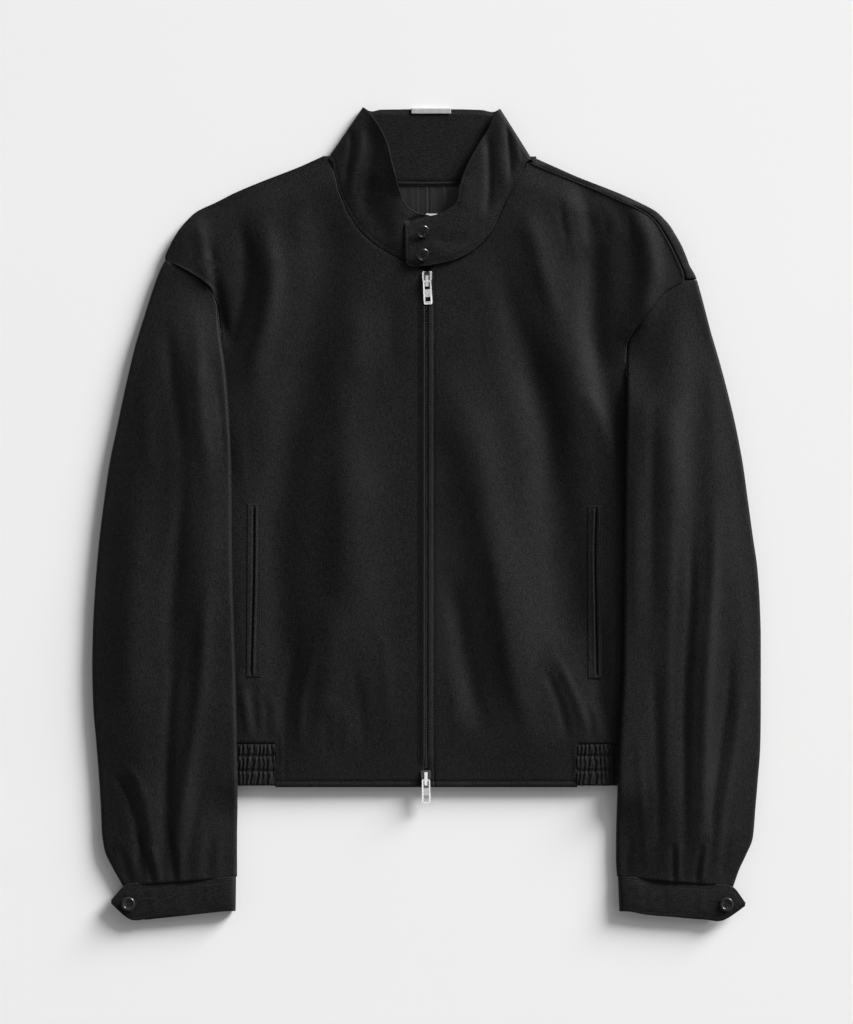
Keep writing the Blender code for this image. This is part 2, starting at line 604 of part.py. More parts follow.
def build_back(cloth):
    neck = [
        (156, 330.3, 528.7),
        (160.2, 330.6, 529.0),
        (163.6, 334.6, 524.6),
        (170, 343.2, 515.0),
        (176, 354.8, 501.6),
        (180, 366.5, 492.6),
        (182, 376.5, 478.0),
        (184.3, 397.0, 461.0),
    ]
    downs = [156, 160.2, 163.6, 170, 176, 180, 182, 184.3, 193, 202, 212, 221, 230, 245, 259, 265, 272, 278]
    downs = np.array(downs + [281, 289, 297, 304.3, 322, 345, 370, 395, 418, 600, 750, 786.0], float)
    left = outer_at("front_right", downs)
    right_edge = [(across, down) for across, down in SHOULDER_LEFT] + [(684.5, 281), (671, 289)]
    right_edge = right_edge + [(row.outer, row.down) for row in FRONT_LEFT if row.down > 289.0]
    right = across_at(right_edge, downs)
    # The armholes of the back lie a little inside those of the fronts.
    at_armhole = 3.5 * smooth(259.0, 268.0, downs) * smooth(365.0, 340.0, downs)
    left = left + at_armhole
    right = right - at_armhole * smooth(276.0, 283.0, downs)
    neck_left = np.interp(downs, [row[0] for row in neck], [row[1] for row in neck])
    neck_right = np.interp(downs, [row[0] for row in neck], [row[2] for row in neck])
    shares = (left, (left + neck_left) / 2.0, neck_left, (neck_left + neck_right) / 2.0)
    across = np.stack(shares + (neck_right, (right + neck_right) / 2.0, right), axis=1)
    down = np.repeat(downs[:, None], across.shape[1], axis=1)
    kept = np.ones((len(downs) - 1, across.shape[1] - 1), bool)
    kept[downs[:-1] < 184.0, 2:4] = False
    back = wall("back", at(across, down, BACK_CLOTH), at(across, down, 0.0), cloth, kept)
    # The wearer's left shoulder of the back turns up and over to the forward seam.
    turns = [
        ((536.5, 158.0), (534.5, 165.0)),
        ((549.0, 164.0), (545.0, 169.8)),
        ((576.0, 176.0), (568.5, 179.2)),
        ((607.0, 188.0), (598.5, 191.2)),
        ((635.0, 200.0), (626.0, 204.2)),
        ((657.0, 212.0), (645.0, 212.6)),
        ((663.0, 218.0), (652.0, 217.8)),
        ((669.0, 224.0), (657.5, 224.6)),
        ((680.0, 242.0), (667.8, 241.6)),
        ((690.0, 266.0), (678.4, 262.8)),
        ((696.6, 277.4), (684.8, 278.2)),
    ]
    sections = []
    for (edge_across, edge_down), (seam_across, seam_down) in turns:
        width = math.hypot(seam_across - edge_across, seam_down - edge_down)

        def place(inward, height):
            share = inward / width
            return [
                edge_across + (seam_across - edge_across) * share,
                edge_down + (seam_down - edge_down) * share,
                height,
            ]

        def top(inward):
            across_here, down_here, _ = place(inward, 0.0)
            return float(front_underside("front_left", across_here, down_here)) + FRONT_CLOTH

        last = width - 0.5
        middle = 0.45 * width
        section = [
            place(7.0, 0.4),
            place(1.3, 0.4),
            place(0.2, 1.5),
            place(0.2, 3.3),
            place(0.8, top(0.8)),
            place(middle, top(middle)),
            place(last, top(last)),
            place(last, top(last) - FRONT_CLOTH),
            place(middle, top(middle) - FRONT_CLOTH),
            place(2.6, top(2.0) - FRONT_CLOTH),
            place(1.8, 2.6),
            place(2.4, 1.2),
            place(7.0, 1.2),
        ]
        sections.append(section)
    sections = np.array(sections)
    sections = at(sections[..., 0], sections[..., 1], sections[..., 2])
    stations, around = sections.shape[:2]
    faces = [list(range(around)), [(stations - 1) * around + i for i in range(around)][::-1]]
    for station in range(stations - 1):
        for corner in range(around):
            a = station * around + corner
            b = station * around + (corner + 1) % around
            faces.append([b, a, a + around, b + around])
    turn = new_object("shoulder_turn", sections.reshape(-1, 3), faces, None)
    join(back, turn)


def path_shares(path):
    # How far along a path each of its corners lies, from 0 to 1.
    path = np.asarray(path, float)
    lengths = np.linalg.norm(np.diff(path, axis=0), axis=1)
    corners = np.concatenate([[0.0], np.cumsum(lengths)]) / lengths.sum()
    return corners


def on_path(path, share):
    path = np.asarray(path, float)
    corners = path_shares(path)
    return np.interp(share, corners, path[:, 0]), np.interp(share, corners, path[:, 1])


def build_sleeve(name, side_name, stations, armhole, cloth):
    corners = path_shares(armhole)
    extra = [0.07, 0.16, 0.3, 0.45, 0.58, 0.7, 0.84, 0.93]
    shares = sorted(list(corners[1:-1]) + [s for s in extra if np.abs(corners - s).min() > 0.045])
    arc = np.radians([-90.0, -45.0, 0.0, 45.0, 90.0])
    blends = [1.0, 0.62, 0.28, 0.08]
    side = 1.0 if side_name == "right" else -1.0
    outer_rings = []
    inner_rings = []
    for index, station in enumerate(stations):
        blend = blends[index] if index < len(blends) else 0.0
        width = math.hypot(
            station.inner_across - station.outer_across, station.inner_down - station.outer_down
        )

        def plan(share):
            across = station.outer_across + (station.inner_across - station.outer_across) * share
            down = station.outer_down + (station.inner_down - station.outer_down) * share
            seam_across, seam_down = on_path(armhole, share)
            ends_across = armhole[0][0] + (armhole[-1][0] - armhole[0][0]) * share
            ends_down = armhole[0][1] + (armhole[-1][1] - armhole[0][1]) * share
            bow = blend * (seam_across - ends_across)
            return across + bow, down + blend * (seam_down - ends_down)

        def upper(share):
            across, down = plan(share)
            rise = sleeve_clearance(side_name, across, down) + 2.0 * SLEEVE_FOLD_RADIUS
            rise = rise + station.loft * np.sin(math.pi * np.clip(share, 0.0, 1.0)) ** 0.8
            ends = smooth(0.02, 0.12, share) * smooth(0.98, 0.88, share)
            rise = rise + fold_rise(name, across, down) * ends
            front = front_underside("front_" + side_name, across, down) + FRONT_CLOTH
            return rise * (1.0 - blend) + front * blend

        def lower(share):
            across, down = plan(share)
            seam_blend = blend if blend > 0.5 else 0.0
            rise = sleeve_clearance(side_name, across, down) * (1.0 - seam_blend)
            return rise + seam_blend * 2.0 * share

        near = SLEEVE_FOLD_RADIUS / width
        section = []
        for share_end, turned in ((near, False), (1.0 - near, True)):
            low = float(lower(share_end))
            high = max(float(upper(share_end)), low + 5.2)
            for angle in arc[::-1] if turned else arc:
                offset = near * math.cos(angle)
                share = 1.0 - near + offset if turned else near - offset
                section.append((share, (high + low) / 2.0 + (high - low) / 2.0 * math.sin(angle)))
            if not turned:
                section.extend((share, float(upper(share))) for share in shares)
        # The underside turns up just before the edge of the body.
        scan = np.linspace(0.3, 1.0, 141)
        scan_across, scan_down = plan(scan)
        past = (scan_across - outer_at("front_" + side_name, scan_down)) * side
        edge = float(np.clip(scan[np.argmax(past > 0.0)] if past.max() > 0.0 else 0.84, 0.4, 0.84))
        inner_part = 0.94 - edge
        rise_start = edge - 18.0 / width
        lower_shares = [edge + 0.7 * inner_part, edge + 0.35 * inner_part, edge, edge - 3.5 / width]
        lower_shares = lower_shares + [rise_start, 0.66 * rise_start, 0.33 * rise_start]
        section.extend((share, float(lower(share))) for share in lower_shares)
        section = np.array(section)
        flat = np.stack([section[:, 0] * width, section[:, 1]], axis=1)
        tangent = np.roll(flat, -1, axis=0) - np.roll(flat, 1, axis=0)
        tangent = tangent / np.linalg.norm(tangent, axis=1, keepdims=True)
        inward = np.stack([tangent[:, 1], -tangent[:, 0]], axis=1)
        inside = flat + inward * SLEEVE_CLOTH
        for rings, outline in ((outer_rings, flat), (inner_rings, inside)):
            across, down = plan(outline[:, 0] / width)
            rings.append(at(across, down, outline[:, 1]))
    tube(name, np.array(outer_rings), np.array(inner_rings), cloth)


def band_grid(table, segments, swell):
    # Points across a band at each row, with round turns where it folds back on itself.
    lines = []
    for index, row in enumerate(table):
        lines.append(row)
        if index + 1 == len(table):
            break
        following = table[index + 1]
        if abs(following.seam_height - row.seam_height) < 4.0:
            continue
        before = table[index - 1]
        line = np.array([row.edge_across - row.seam_across, row.edge_down - row.seam_down])
        out = np.array([line[1], -line[0]]) / np.hypot(*line)
        moved = [
            row.edge_across + row.seam_across - before.edge_across - before.seam_across,
            row.edge_down + row.seam_down - before.edge_down - before.seam_down,
        ]
        if np.dot(out, moved) < 0.0:
            out = -out
        for angle in (60.0, 30.0, 0.0, -30.0, -60.0):
            turn = math.radians(angle)
            share = 0.5 - 0.5 * math.sin(turn)
            values = []
            for end in ("seam", "edge"):
                across, down, height = (
                    getattr(row, f"{end}_{part}") for part in ("across", "down", "height")
                )
                next_across, next_down, next_height = (
                    getattr(following, f"{end}_{part}") for part in ("across", "down", "height")
                )
                half = (height - next_height) / 2.0
                reach = abs(half) * math.cos(turn)
                values.append(across + (next_across - across) * share + out[0] * reach)
                values.append(down + (next_down - down) * share + out[1] * reach)
                values.append(next_height + half + half * math.sin(turn))
            lines.append(Band(*values))
    rows = np.array(lines, float)
    shares = np.linspace(0.0, 1.0, segments + 1)[None, :, None]
    middle = rows[:, None, :3] * (1.0 - shares) + rows[:, None, 3:] * shares
    raised = smooth(4.0, 8.0, middle[..., 2]) * np.sin(math.pi * shares[..., 0]) * swell
    middle[..., 2] = middle[..., 2] + raised
    return at(middle[..., 0], middle[..., 1], middle[..., 2])


def build_welt(name, panel, grid, path, half_width, cloth):
    # A strip on the front, made from the front's own points and moved out.
    downs = grid[0]
    start, end = path[0][1], path[-1][1]
    rows = [start] + [d for d in downs if start + 4.0 < d < end - 4.0] + [end]
    rows = np.array(rows, float)
    middle = across_at(path, rows)
    across = middle[:, None] + np.array([-1.0, -0.35, 0.35, 1.0])[None, :] * half_width
    down = np.repeat(rows[:, None], across.shape[1], axis=1)
    lower = read_height(grid, across, down) + FRONT_CLOTH + SEAM_GAP + 0.4
    upper = lower + 1.1
    wall(name, at(across, down, upper), at(across, down, lower), cloth)


def zip_across(down):
    return np.interp(down, [268.0, 500.0, 740.0, 787.0], [427.0, 427.0, 426.7, 425.9])


def build_zip(grids, tape_cloth, metal):
    for side_name, side in (("right", -1.0), ("left", 1.0)):
        grid = grids["front_" + side_name]
        rows = np.array([d for d in grid[0] if 273.0 <= d < 786.0])
        across = zip_across(rows)[:, None] + side * np.array([2.9, 15.0])[None, :]
        down = np.repeat(rows[:, None], 2, axis=1)
        beneath = side * np.maximum(side * (across - inner_at("front_" + side_name, down)), 0.4)
        over = inner_at("front_" + side_name, down) + beneath
        upper = read_height(grid, over, down) - SEAM_GAP
        wall("zip_tape_" + side_name, at(across, down, upper), at(across, down, upper - 1.0), tape_cloth)
    grid = grids["front_right"]
    rows = np.array([289.5] + [d for d in grid[0] if 290.0 < d < 768.0] + [769.0])
    across = zip_across(rows)[:, None] + np.array([-2.6, 2.6])[None, :]
    down = np.repeat(rows[:, None], 2, axis=1)
    upper = np.full(down.shape, 0.0)
    for row, place in enumerate(rows):
        left = read_height(grids["front_right"], inner_at("front_right", place), place)
        right = read_height(grids["front_left"], inner_at("front_left", place), place)
        upper[row] = min(float(left), float(right)) - SEAM_GAP - 0.1
    wall("zip_chain", at(across, down, upper), at(across, down, upper - 2.2), metal)


def build_slider(end, across, top_down, floor, metal):
    # Plate on the zip, a neck between the fronts and a crown over the pull's bar.
    def box(name, half_width, start, finish, low, high):
        outline = [(start, low), (finish, low), (finish, high), (start, high)]
        outline = [(CENTRE_DOWN - down, height) for down, height in outline]
        left = across - CENTRE_ACROSS - half_width
        return prism(name, outline, 0, left, left + 2.0 * half_width, metal)

    plate = [
        (-3.4, 0.0), (3.4, 0.0), (4.9, 1.2), (4.9, 6.0), (3.8, 12.0), (3.4, 14.6), (2.4, 15.4),
        (-2.4, 15.4), (-3.4, 14.6), (-3.8, 12.0), (-4.9, 6.0), (-4.9, 1.2),
    ]
    outline = [(across + x - CENTRE_ACROSS, CENTRE_DOWN - top_down - y) for x, y in plate]
    main = prism("slider_" + end, outline, 2, floor, floor + 1.4, metal)
    join(main, box("neck_" + end, 1.2, top_down + 2.0, top_down + 12.0, floor - 2.4, floor + 0.7))
    crown = floor + 1.4
    join(main, box("crown_up_" + end, 1.6, top_down + 1.8, top_down + 3.4, crown - 0.5, crown + 3.4))
    join(main, box("crown_down_" + end, 1.6, top_down + 13.4, top_down + 15.0, crown - 0.5, crown + 3.4))
    join(main, box("crown_top_" + end, 1.5, top_down + 2.3, top_down + 14.5, crown + 3.1, crown + 4.2))
    return crown + 1.7


def build_pull(end, across, down, height, tilt, metal):
    # The tab hangs from its bar, which lies across under the slider's crown.
    rows = [
        (-0.9, 3.5), (0.9, 4.1), (7.9, 4.1), (12.0, 4.2), (15.7, 4.3), (19.9, 4.3), (21.9, 4.1),
        (22.9, 3.3),
    ]
    reach = np.array([row[0] for row in rows])
    half = np.array([row[1] for row in rows])
    hole = np.minimum(2.6, half - 1.0)
    spread = np.stack([-half, -hole, hole, half], axis=1)
    along = np.repeat(reach[:, None], 4, axis=1)
    kept = np.ones((len(rows) - 1, 3), bool)
    kept[1, 1] = False
    kept[4, 1] = False
    pitch = math.radians(5.9)
    turn = math.radians(tilt)
    grids = []
    for lift in (0.75, -0.75):
        forward = along * math.cos(pitch) - lift * math.sin(pitch)
        up = -along * math.sin(pitch) + lift * math.cos(pitch)
        over = spread * math.cos(turn) - forward * math.sin(turn)
        forward = spread * math.sin(turn) + forward * math.cos(turn)
        grids.append(at(across + over, down + forward, height + up))
    origin = at(across, down, height)
    wall("pull_" + end, grids[0], grids[1], metal, kept, origin)


def build_labels(tape_cloth, lining_cloth, silver_cloth, white_cloth):
    across = np.array([372.0, 397.0, 428.5, 460.0, 486.0])
    start = np.array([187.0, 185.4, 185.6, 185.4, 187.0])
    down = np.stack([start, np.full(5, 215.0), np.full(5, 250.0)])
    spread = np.repeat(across[None, :], 3, axis=0)
    spread[2] = 428.5 + (spread[2] - 428.5) * 0.72
    wall("lining_back", at(spread, down, 2.8), at(spread, down, 1.95), lining_cloth)
    across = np.array([398.0, 412.0, 428.5, 446.0, 459.0])
    bow = np.array([-0.5, -0.1, 0.0, -0.1, -0.5])
    down = np.stack([180.9 + bow, 185.3 + bow])
    spread = np.repeat(across[None, :], 2, axis=0)
    height = np.full(down.shape, 3.5)
    wall("neck_tape", at(spread, down, height + 0.2), at(spread, down, height - 0.4), tape_cloth)
    profile = [(107.3, 0.3), (108.2, 0.3), (108.2, 2.75), (113.2, 2.75), (113.2, 3.4), (107.3, 3.4)]
    outline = [(CENTRE_DOWN - down, height) for down, height in profile]
    left, right = 411.4 - CENTRE_ACROSS, 450.9 - CENTRE_ACROSS
    prism("neck_label", outline, 0, left, right, silver_cloth)
    profile = [(213.4, 3.1), (229.0, 3.1), (229.0, 3.7), (213.4, 3.7)]
    outline = [(CENTRE_DOWN - down, height) for down, height in profile]
    prism("size_label", outline, 0, 426.0 - CENTRE_ACROSS, 437.2 - CENTRE_ACROSS, white_cloth)


def build_buttons(horn):
    face = [(4.6, 0.0), (6.2, 0.5), (6.9, 1.5), (6.7, 2.4), (5.6, 2.7), (4.9, 2.1), (1.0, 1.9)]
    tipped = math.radians(27.0)
    turned = math.radians(18.0)
    for name, down, height in (("upper", 232.6, 19.0), ("lower", 255.6, 18.6)):
        centre = at(422.8, down, height)
        lathe("collar_button_" + name, face, centre, tipped, turned, horn)
    for name, across, down in (("right", 129.0, 903.0), ("left", 726.0, 903.4)):
        lathe("cuff_button_" + name, face, at(across, down, 11.5), 0.0, 0.0, horn)


def build_jacket():
    cloth = {}
    for name in (
        "back", "front_right", "front_left", "sleeve_right", "sleeve_left", "collar",
        "cuff_right", "cuff_left", "pocket_welt_right", "pocket_welt_left",
    ):
        cloth[name] = material(name + "_twill", (0.014, 0.014, 0.016), 0.88)
    elastic = {}
    for name in ("elastic_right", "elastic_left"):
        elastic[name] = material(name + "_twill", (0.012, 0.012, 0.014), 0.9)
    build_back(cloth["back"])
    grids = {}
    for panel in ("front_right", "front_left"):
        grids[panel] = build_front(panel, cloth[panel])
    build_elastic("elastic_right", "front_right", elastic["elastic_right"])
    build_elastic("elastic_left", "front_left", elastic["elastic_left"])
    build_sleeve("sleeve_right", "right", SLEEVE_RIGHT, ARMHOLE_RIGHT, cloth["sleeve_right"])
    build_sleeve("sleeve_left", "left", SLEEVE_LEFT, ARMHOLE_LEFT, cloth["sleeve_left"])
    shell("collar", band_grid(COLLAR, 5, 0.8), COLLAR_CLOTH, cloth["collar"])
    shell("cuff_right", band_grid(CUFF_RIGHT, 3, 0.5), CUFF_CLOTH, cloth["cuff_right"])
    shell("cuff_left", band_grid(CUFF_LEFT, 3, 0.5), CUFF_CLOTH, cloth["cuff_left"])
    welts = (
        ("right", [(254.6, 504.0), (253.4, 677.0)], 6.8),
        ("left", [(594.6, 506.0), (594.6, 678.0)], 6.8),
    )
    for side_name, path, half_width in welts:
        panel = "front_" + side_name
        name = "pocket_welt_" + side_name
        build_welt(name, panel, grids[panel], path, half_width, cloth[name])
    metal = material("zip_chain_nickel", (0.5, 0.5, 0.5), 0.35, 1.0)
    build_zip(grids, material("zip_tape_twill", (0.01, 0.01, 0.011), 0.9), metal)
    for end, across, top_down, tilt in (("upper", 427.0, 272.2, -3.2), ("lower", 426.0, 769.6, -1.0)):
        seat = 0.0
        for panel in ("front_right", "front_left"):
            edge = inner_at(panel, top_down)
            reach = read_height(grids[panel], edge, np.array([top_down, top_down + 8.0, top_down + 15.4]))
            seat = max(seat, float(reach.max()))
        floor = seat + FRONT_CLOTH + SEAM_GAP
        polished = material("slider_" + end + "_nickel", (0.62, 0.62, 0.63), 0.25, 1.0)
        height = build_slider(end, across, top_down, floor, polished)
        shining = material("pull_" + end + "_nickel", (0.66, 0.66, 0.67), 0.22, 1.0)
        build_pull(end, across, top_down + 10.0, height, tilt, shining)
    build_labels(
        material("neck_tape_twill", (0.02, 0.02, 0.022), 0.85),
        material("lining_satin", (0.035, 0.035, 0.04), 0.5),
        material("neck_label_satin", (0.45, 0.45, 0.47), 0.4),
        material("size_label_satin", (0.8, 0.8, 0.8), 0.5),
    )
    build_buttons(material("button_horn", (0.02, 0.02, 0.021), 0.3))


build_jacket()
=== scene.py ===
import math

import bpy
import numpy as np
from mathutils import Matrix, Vector
from mathutils.bvhtree import BVHTree


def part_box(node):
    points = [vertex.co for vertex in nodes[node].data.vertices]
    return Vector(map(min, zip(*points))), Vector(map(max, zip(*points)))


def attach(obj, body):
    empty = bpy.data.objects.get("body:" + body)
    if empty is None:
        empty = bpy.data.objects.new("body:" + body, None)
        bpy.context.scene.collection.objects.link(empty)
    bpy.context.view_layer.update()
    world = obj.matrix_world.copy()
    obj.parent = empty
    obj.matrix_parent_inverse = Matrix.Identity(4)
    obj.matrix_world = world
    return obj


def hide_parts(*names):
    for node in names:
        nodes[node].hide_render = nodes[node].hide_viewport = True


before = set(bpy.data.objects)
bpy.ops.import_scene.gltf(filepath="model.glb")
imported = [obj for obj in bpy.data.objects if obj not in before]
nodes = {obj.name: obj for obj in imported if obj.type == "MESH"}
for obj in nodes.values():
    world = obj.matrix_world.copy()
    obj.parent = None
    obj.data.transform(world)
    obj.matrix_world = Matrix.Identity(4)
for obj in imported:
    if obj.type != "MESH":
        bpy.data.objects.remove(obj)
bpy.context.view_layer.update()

# Places on the jacket are millimetres on one pattern sheet: across runs to the
# wearer's left, down runs from collar to hem, height stands up from the floor.
sheet = {"middleAcross": 426.5, "middleDown": 514.0, "mm": 0.001}


def at(across, down, height):
    across, down, height = np.broadcast_arrays(across, down, height)
    spots = np.stack([across - sheet["middleAcross"], sheet["middleDown"] - down, height], axis=-1)
    return spots * sheet["mm"]


def eased(start, end, value):
    share = np.clip((np.asarray(value, float) - start) / (end - start), 0.0, 1.0)
    return share * share * (3.0 - 2.0 * share)


def edgeRoll(distance, width):
    # 1 on an edge and 0 from a width away
    return np.clip(1.0 - distance / width, 0.0, 1.0) ** 2


def groove(distance, width):
    # 1 on a line, falling away softly to both sides
    return np.exp(-((distance / width) ** 2))


def unit(vectors):
    return vectors / np.maximum(np.linalg.norm(vectors, axis=-1, keepdims=True), 1e-12)


def runLengths(points):
    # how far along a line each of its points lies
    return np.concatenate([[0.0], np.cumsum(np.linalg.norm(np.diff(points, axis=0), axis=1))])


def bend(first, last, slopeFirst, slopeLast, step, t):
    # a cubic from the first value to the last that keeps both slopes
    start = first * (1 + 2 * t) * (1 - t) ** 2 + slopeFirst * step * t * (1 - t) ** 2
    return start + last * t * t * (3 - 2 * t) - slopeLast * step * t * t * (1 - t)


def softTable(places, values, where):
    # smooth reading between the rows of a table, with no overshoot
    places = np.asarray(places, float)
    values = np.asarray(values, float)
    steps = np.diff(places)
    slopes = np.diff(values) / steps
    turn = np.zeros(len(values))
    before, after = slopes[:-1], slopes[1:]
    same = before * after > 0.0
    weightA = 2.0 * steps[1:] + steps[:-1]
    weightB = steps[1:] + 2.0 * steps[:-1]
    safeBefore = np.where(same, before, 1.0)
    safeAfter = np.where(same, after, 1.0)
    turn[1:-1] = np.where(same, (weightA + weightB) / (weightA / safeBefore + weightB / safeAfter), 0.0)
    turn[0], turn[-1] = slopes[0], slopes[-1]
    where = np.asarray(where, float)
    spot = np.clip(np.searchsorted(places, where) - 1, 0, len(steps) - 1)
    step = steps[spot]
    t = np.clip((where - places[spot]) / step, 0.0, 1.0)
    return bend(values[spot], values[spot + 1], turn[spot], turn[spot + 1], step, t)


def smoothLine(points, spacing):
    # a line of points drawn through the given ones, evenly spaced
    points = np.asarray(points, float)
    lengths = runLengths(points)
    fine = np.linspace(0.0, lengths[-1], max(2, int(lengths[-1] / spacing) + 1))
    if len(points) == 2:
        return np.stack([np.interp(fine, lengths, points[:, i]) for i in range(points.shape[1])], axis=1)
    slopes = np.gradient(points, lengths, axis=0)
    spot = np.clip(np.searchsorted(lengths, fine) - 1, 0, len(points) - 2)
    step = (lengths[spot + 1] - lengths[spot])[:, None]
    t = (fine - lengths[spot])[:, None] / step
    return bend(points[spot], points[spot + 1], slopes[spot], slopes[spot + 1], step, t)


def nearLine(line, across, down):
    # distance to a line, and the share of its length where the nearest place lies
    line = np.asarray(line, float)
    lengths = np.linalg.norm(np.diff(line, axis=0), axis=1)
    befores = runLengths(line)
    across, down = np.broadcast_arrays(np.asarray(across, float), np.asarray(down, float))
    nearest = np.full(across.shape, np.inf)
    place = np.zeros(across.shape)
    for start, end, length, before in zip(line[:-1], line[1:], lengths, befores):
        step = (end - start) / length
        awayAcross = across - start[0]
        awayDown = down - start[1]
        reach = np.clip(awayAcross * step[0] + awayDown * step[1], 0.0, length)
        gap = np.hypot(awayAcross - reach * step[0], awayDown - reach * step[1])
        closer = gap < nearest
        place = np.where(closer, before + reach, place)
        nearest = np.minimum(gap, nearest)
    return nearest, place / befores[-1]


creaseReach = 3.2  # half widths from its line, where a crease has run out


def creaseHeight(creases, across, down):
    # troughs and ridges; each is soft across its line and fades at its ends
    total = np.zeros(np.broadcast(across, down).shape)
    for rise, width, fade, points in creases:
        line = smoothLine(points, 7.0)
        low = line.min(axis=0) - creaseReach * width
        high = line.max(axis=0) + creaseReach * width
        inside = (across > low[0]) & (across < high[0]) & (down > low[1]) & (down < high[1])
        if not inside.any():
            continue
        gap, place = nearLine(line, across[inside], down[inside])
        ends = eased(0.0, fade, place) * eased(1.0, 1.0 - fade, place) if fade > 0.0 else 1.0
        total[inside] += rise * ends * groove(gap, width)
    return total


def blur(grid, radius):
    # three passes of a running mean along both directions
    for _ in range(3):
        for axis in (0, 1):
            widths = [(0, 0), (0, 0)]
            widths[axis] = (radius + 1, radius)
            sums = np.cumsum(np.pad(grid, widths), axis=axis)
            size = grid.shape[axis]
            upper = np.take(sums, np.arange(2 * radius + 1, 2 * radius + 1 + size), axis=axis)
            grid = (upper - np.take(sums, np.arange(size), axis=axis)) / (2 * radius + 1)
    return grid


class FormHeights:
    # how high a solid's own surface stands, from above or from below, its facets smoothed
    pitch = 2.5
    margin = 12.0
    steepest = 0.78  # the least upright part of a facet's normal

    def __init__(self, name, above=True, radius=2):
        mesh = nodes[name].data
        tree = BVHTree.FromPolygons([v.co for v in mesh.vertices], [p.vertices for p in mesh.polygons])
        low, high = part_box(name)
        self.left = low.x / sheet["mm"] + sheet["middleAcross"] - self.margin
        self.top = sheet["middleDown"] - high.y / sheet["mm"] - self.margin
        columns = int(((high.x - low.x) / sheet["mm"] + 2.0 * self.margin) / self.pitch) + 2
        rows = int(((high.y - low.y) / sheet["mm"] + 2.0 * self.margin) / self.pitch) + 2
        heights = np.zeros((rows, columns))
        found = np.zeros((rows, columns))
        start, way = (1.0, -1.0) if above else (-1.0, 1.0)
        for row in range(rows):
            for column in range(columns):
                spot = at(self.left + column * self.pitch, self.top + row * self.pitch, 0.0)
                hit, normal, _, _ = tree.ray_cast(Vector((spot[0], spot[1], start)), Vector((0, 0, way)))
                if hit is not None and abs(normal.z) > self.steepest:
                    heights[row, column] = hit.z / sheet["mm"]
                    found[row, column] = 1.0
        weight = blur(found, radius)
        smoothed = blur(heights, radius) / np.maximum(weight, 1e-6)
        wide = blur(heights, radius * 4) / np.maximum(blur(found, radius * 4), 1e-6)
        known = eased(0.002, 0.03, weight)
        self.heights = smoothed * known + wide * (1.0 - known)

    def read(self, across, down):
        rows, columns = self.heights.shape
        x = np.clip((np.asarray(across, float) - self.left) / self.pitch, 0.0, columns - 1.001)
        y = np.clip((np.asarray(down, float) - self.top) / self.pitch, 0.0, rows - 1.001)
        x, y = np.broadcast_arrays(x, y)
        i, j = x.astype(int), y.astype(int)
        u, v = x - i, y - j
        upper = self.heights[j, i] * (1 - u) + self.heights[j, i + 1] * u
        lower = self.heights[j + 1, i] * (1 - u) + self.heights[j + 1, i + 1] * u
        return upper * (1 - v) + lower * v


def meshObject(name, points, faces, finish, smooth=True):
    mesh = bpy.data.meshes.new(name)
    mesh.from_pydata(np.asarray(points, float).tolist(), [], faces)
    mesh.polygons.foreach_set("use_smooth", [smooth] * len(mesh.polygons))
    mesh.materials.append(finish)
    mesh.update()
    made = bpy.data.objects.new(name, mesh)
    bpy.context.scene.collection.objects.link(made)
    return made


def copied(faces, count, total):
    # the faces of one shape, for count of them with total points each
    return [[n * total + i for i in face] for n in range(count) for face in faces]


def gridNormals(points, ring):
    if ring:
        wide = np.roll(points, -1, axis=1) - np.roll(points, 1, axis=1)
    else:
        wide = np.gradient(points, axis=1)
    return unit(np.cross(np.gradient(points, axis=0), wide))


rimBulge = 0.16  # of the cloth's thickness


def clothShell(name, points, thickness, finish, kept=None, ring=False):
    # a closed thin cloth: the given outer face, an inner face and soft turned edges
    rows, columns = points.shape[:2]
    normals = gridNormals(points, ring)
    thick = np.broadcast_to(thickness, (rows, columns))[..., None] * sheet["mm"]
    inner = points - normals * thick
    cells = columns if ring else columns - 1
    if kept is None:
        kept = np.ones((rows - 1, cells), bool)
    row, column = np.nonzero(kept)
    following = (column + 1) % columns
    corners = np.stack([
        row * columns + column, (row + 1) * columns + column,
        (row + 1) * columns + following, row * columns + following,
    ], axis=1)
    total = rows * columns
    edges = np.concatenate([corners[:, [i, (i + 1) % 4]] for i in range(4)])
    keys = edges[:, 0] * total + edges[:, 1]
    backward = edges[:, 1] * total + edges[:, 0]
    start, end = edges[~np.isin(keys, backward)].T
    flat, flatInner = points.reshape(-1, 3), inner.reshape(-1, 3)
    flatNormals = normals.reshape(-1, 3)
    outward = np.zeros((total, 3))
    side = unit(np.cross(flat[end] - flat[start], flatNormals[start]))
    np.add.at(outward, start, side)
    np.add.at(outward, end, side)
    middle = (flat + flatInner) / 2.0 + unit(outward) * rimBulge * thick.reshape(-1, 1)
    faces = np.concatenate([
        corners,
        corners[:, ::-1] + total,
        np.stack([end, start, start + 2 * total, end + 2 * total], axis=1),
        np.stack([end + 2 * total, start + 2 * total, start + total, end + total], axis=1),
    ])
    everything = np.concatenate([flat, flatInner, middle])
    used = np.unique(faces)
    place = np.full(len(everything), -1)
    place[used] = np.arange(len(used))
    return meshObject(name, everything[used], place[faces].tolist(), finish)


def dress(made, node=None):
    # it moves with the jacket, and may stand in for a node
    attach(made, "jacket")
    if node:
        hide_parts(node)


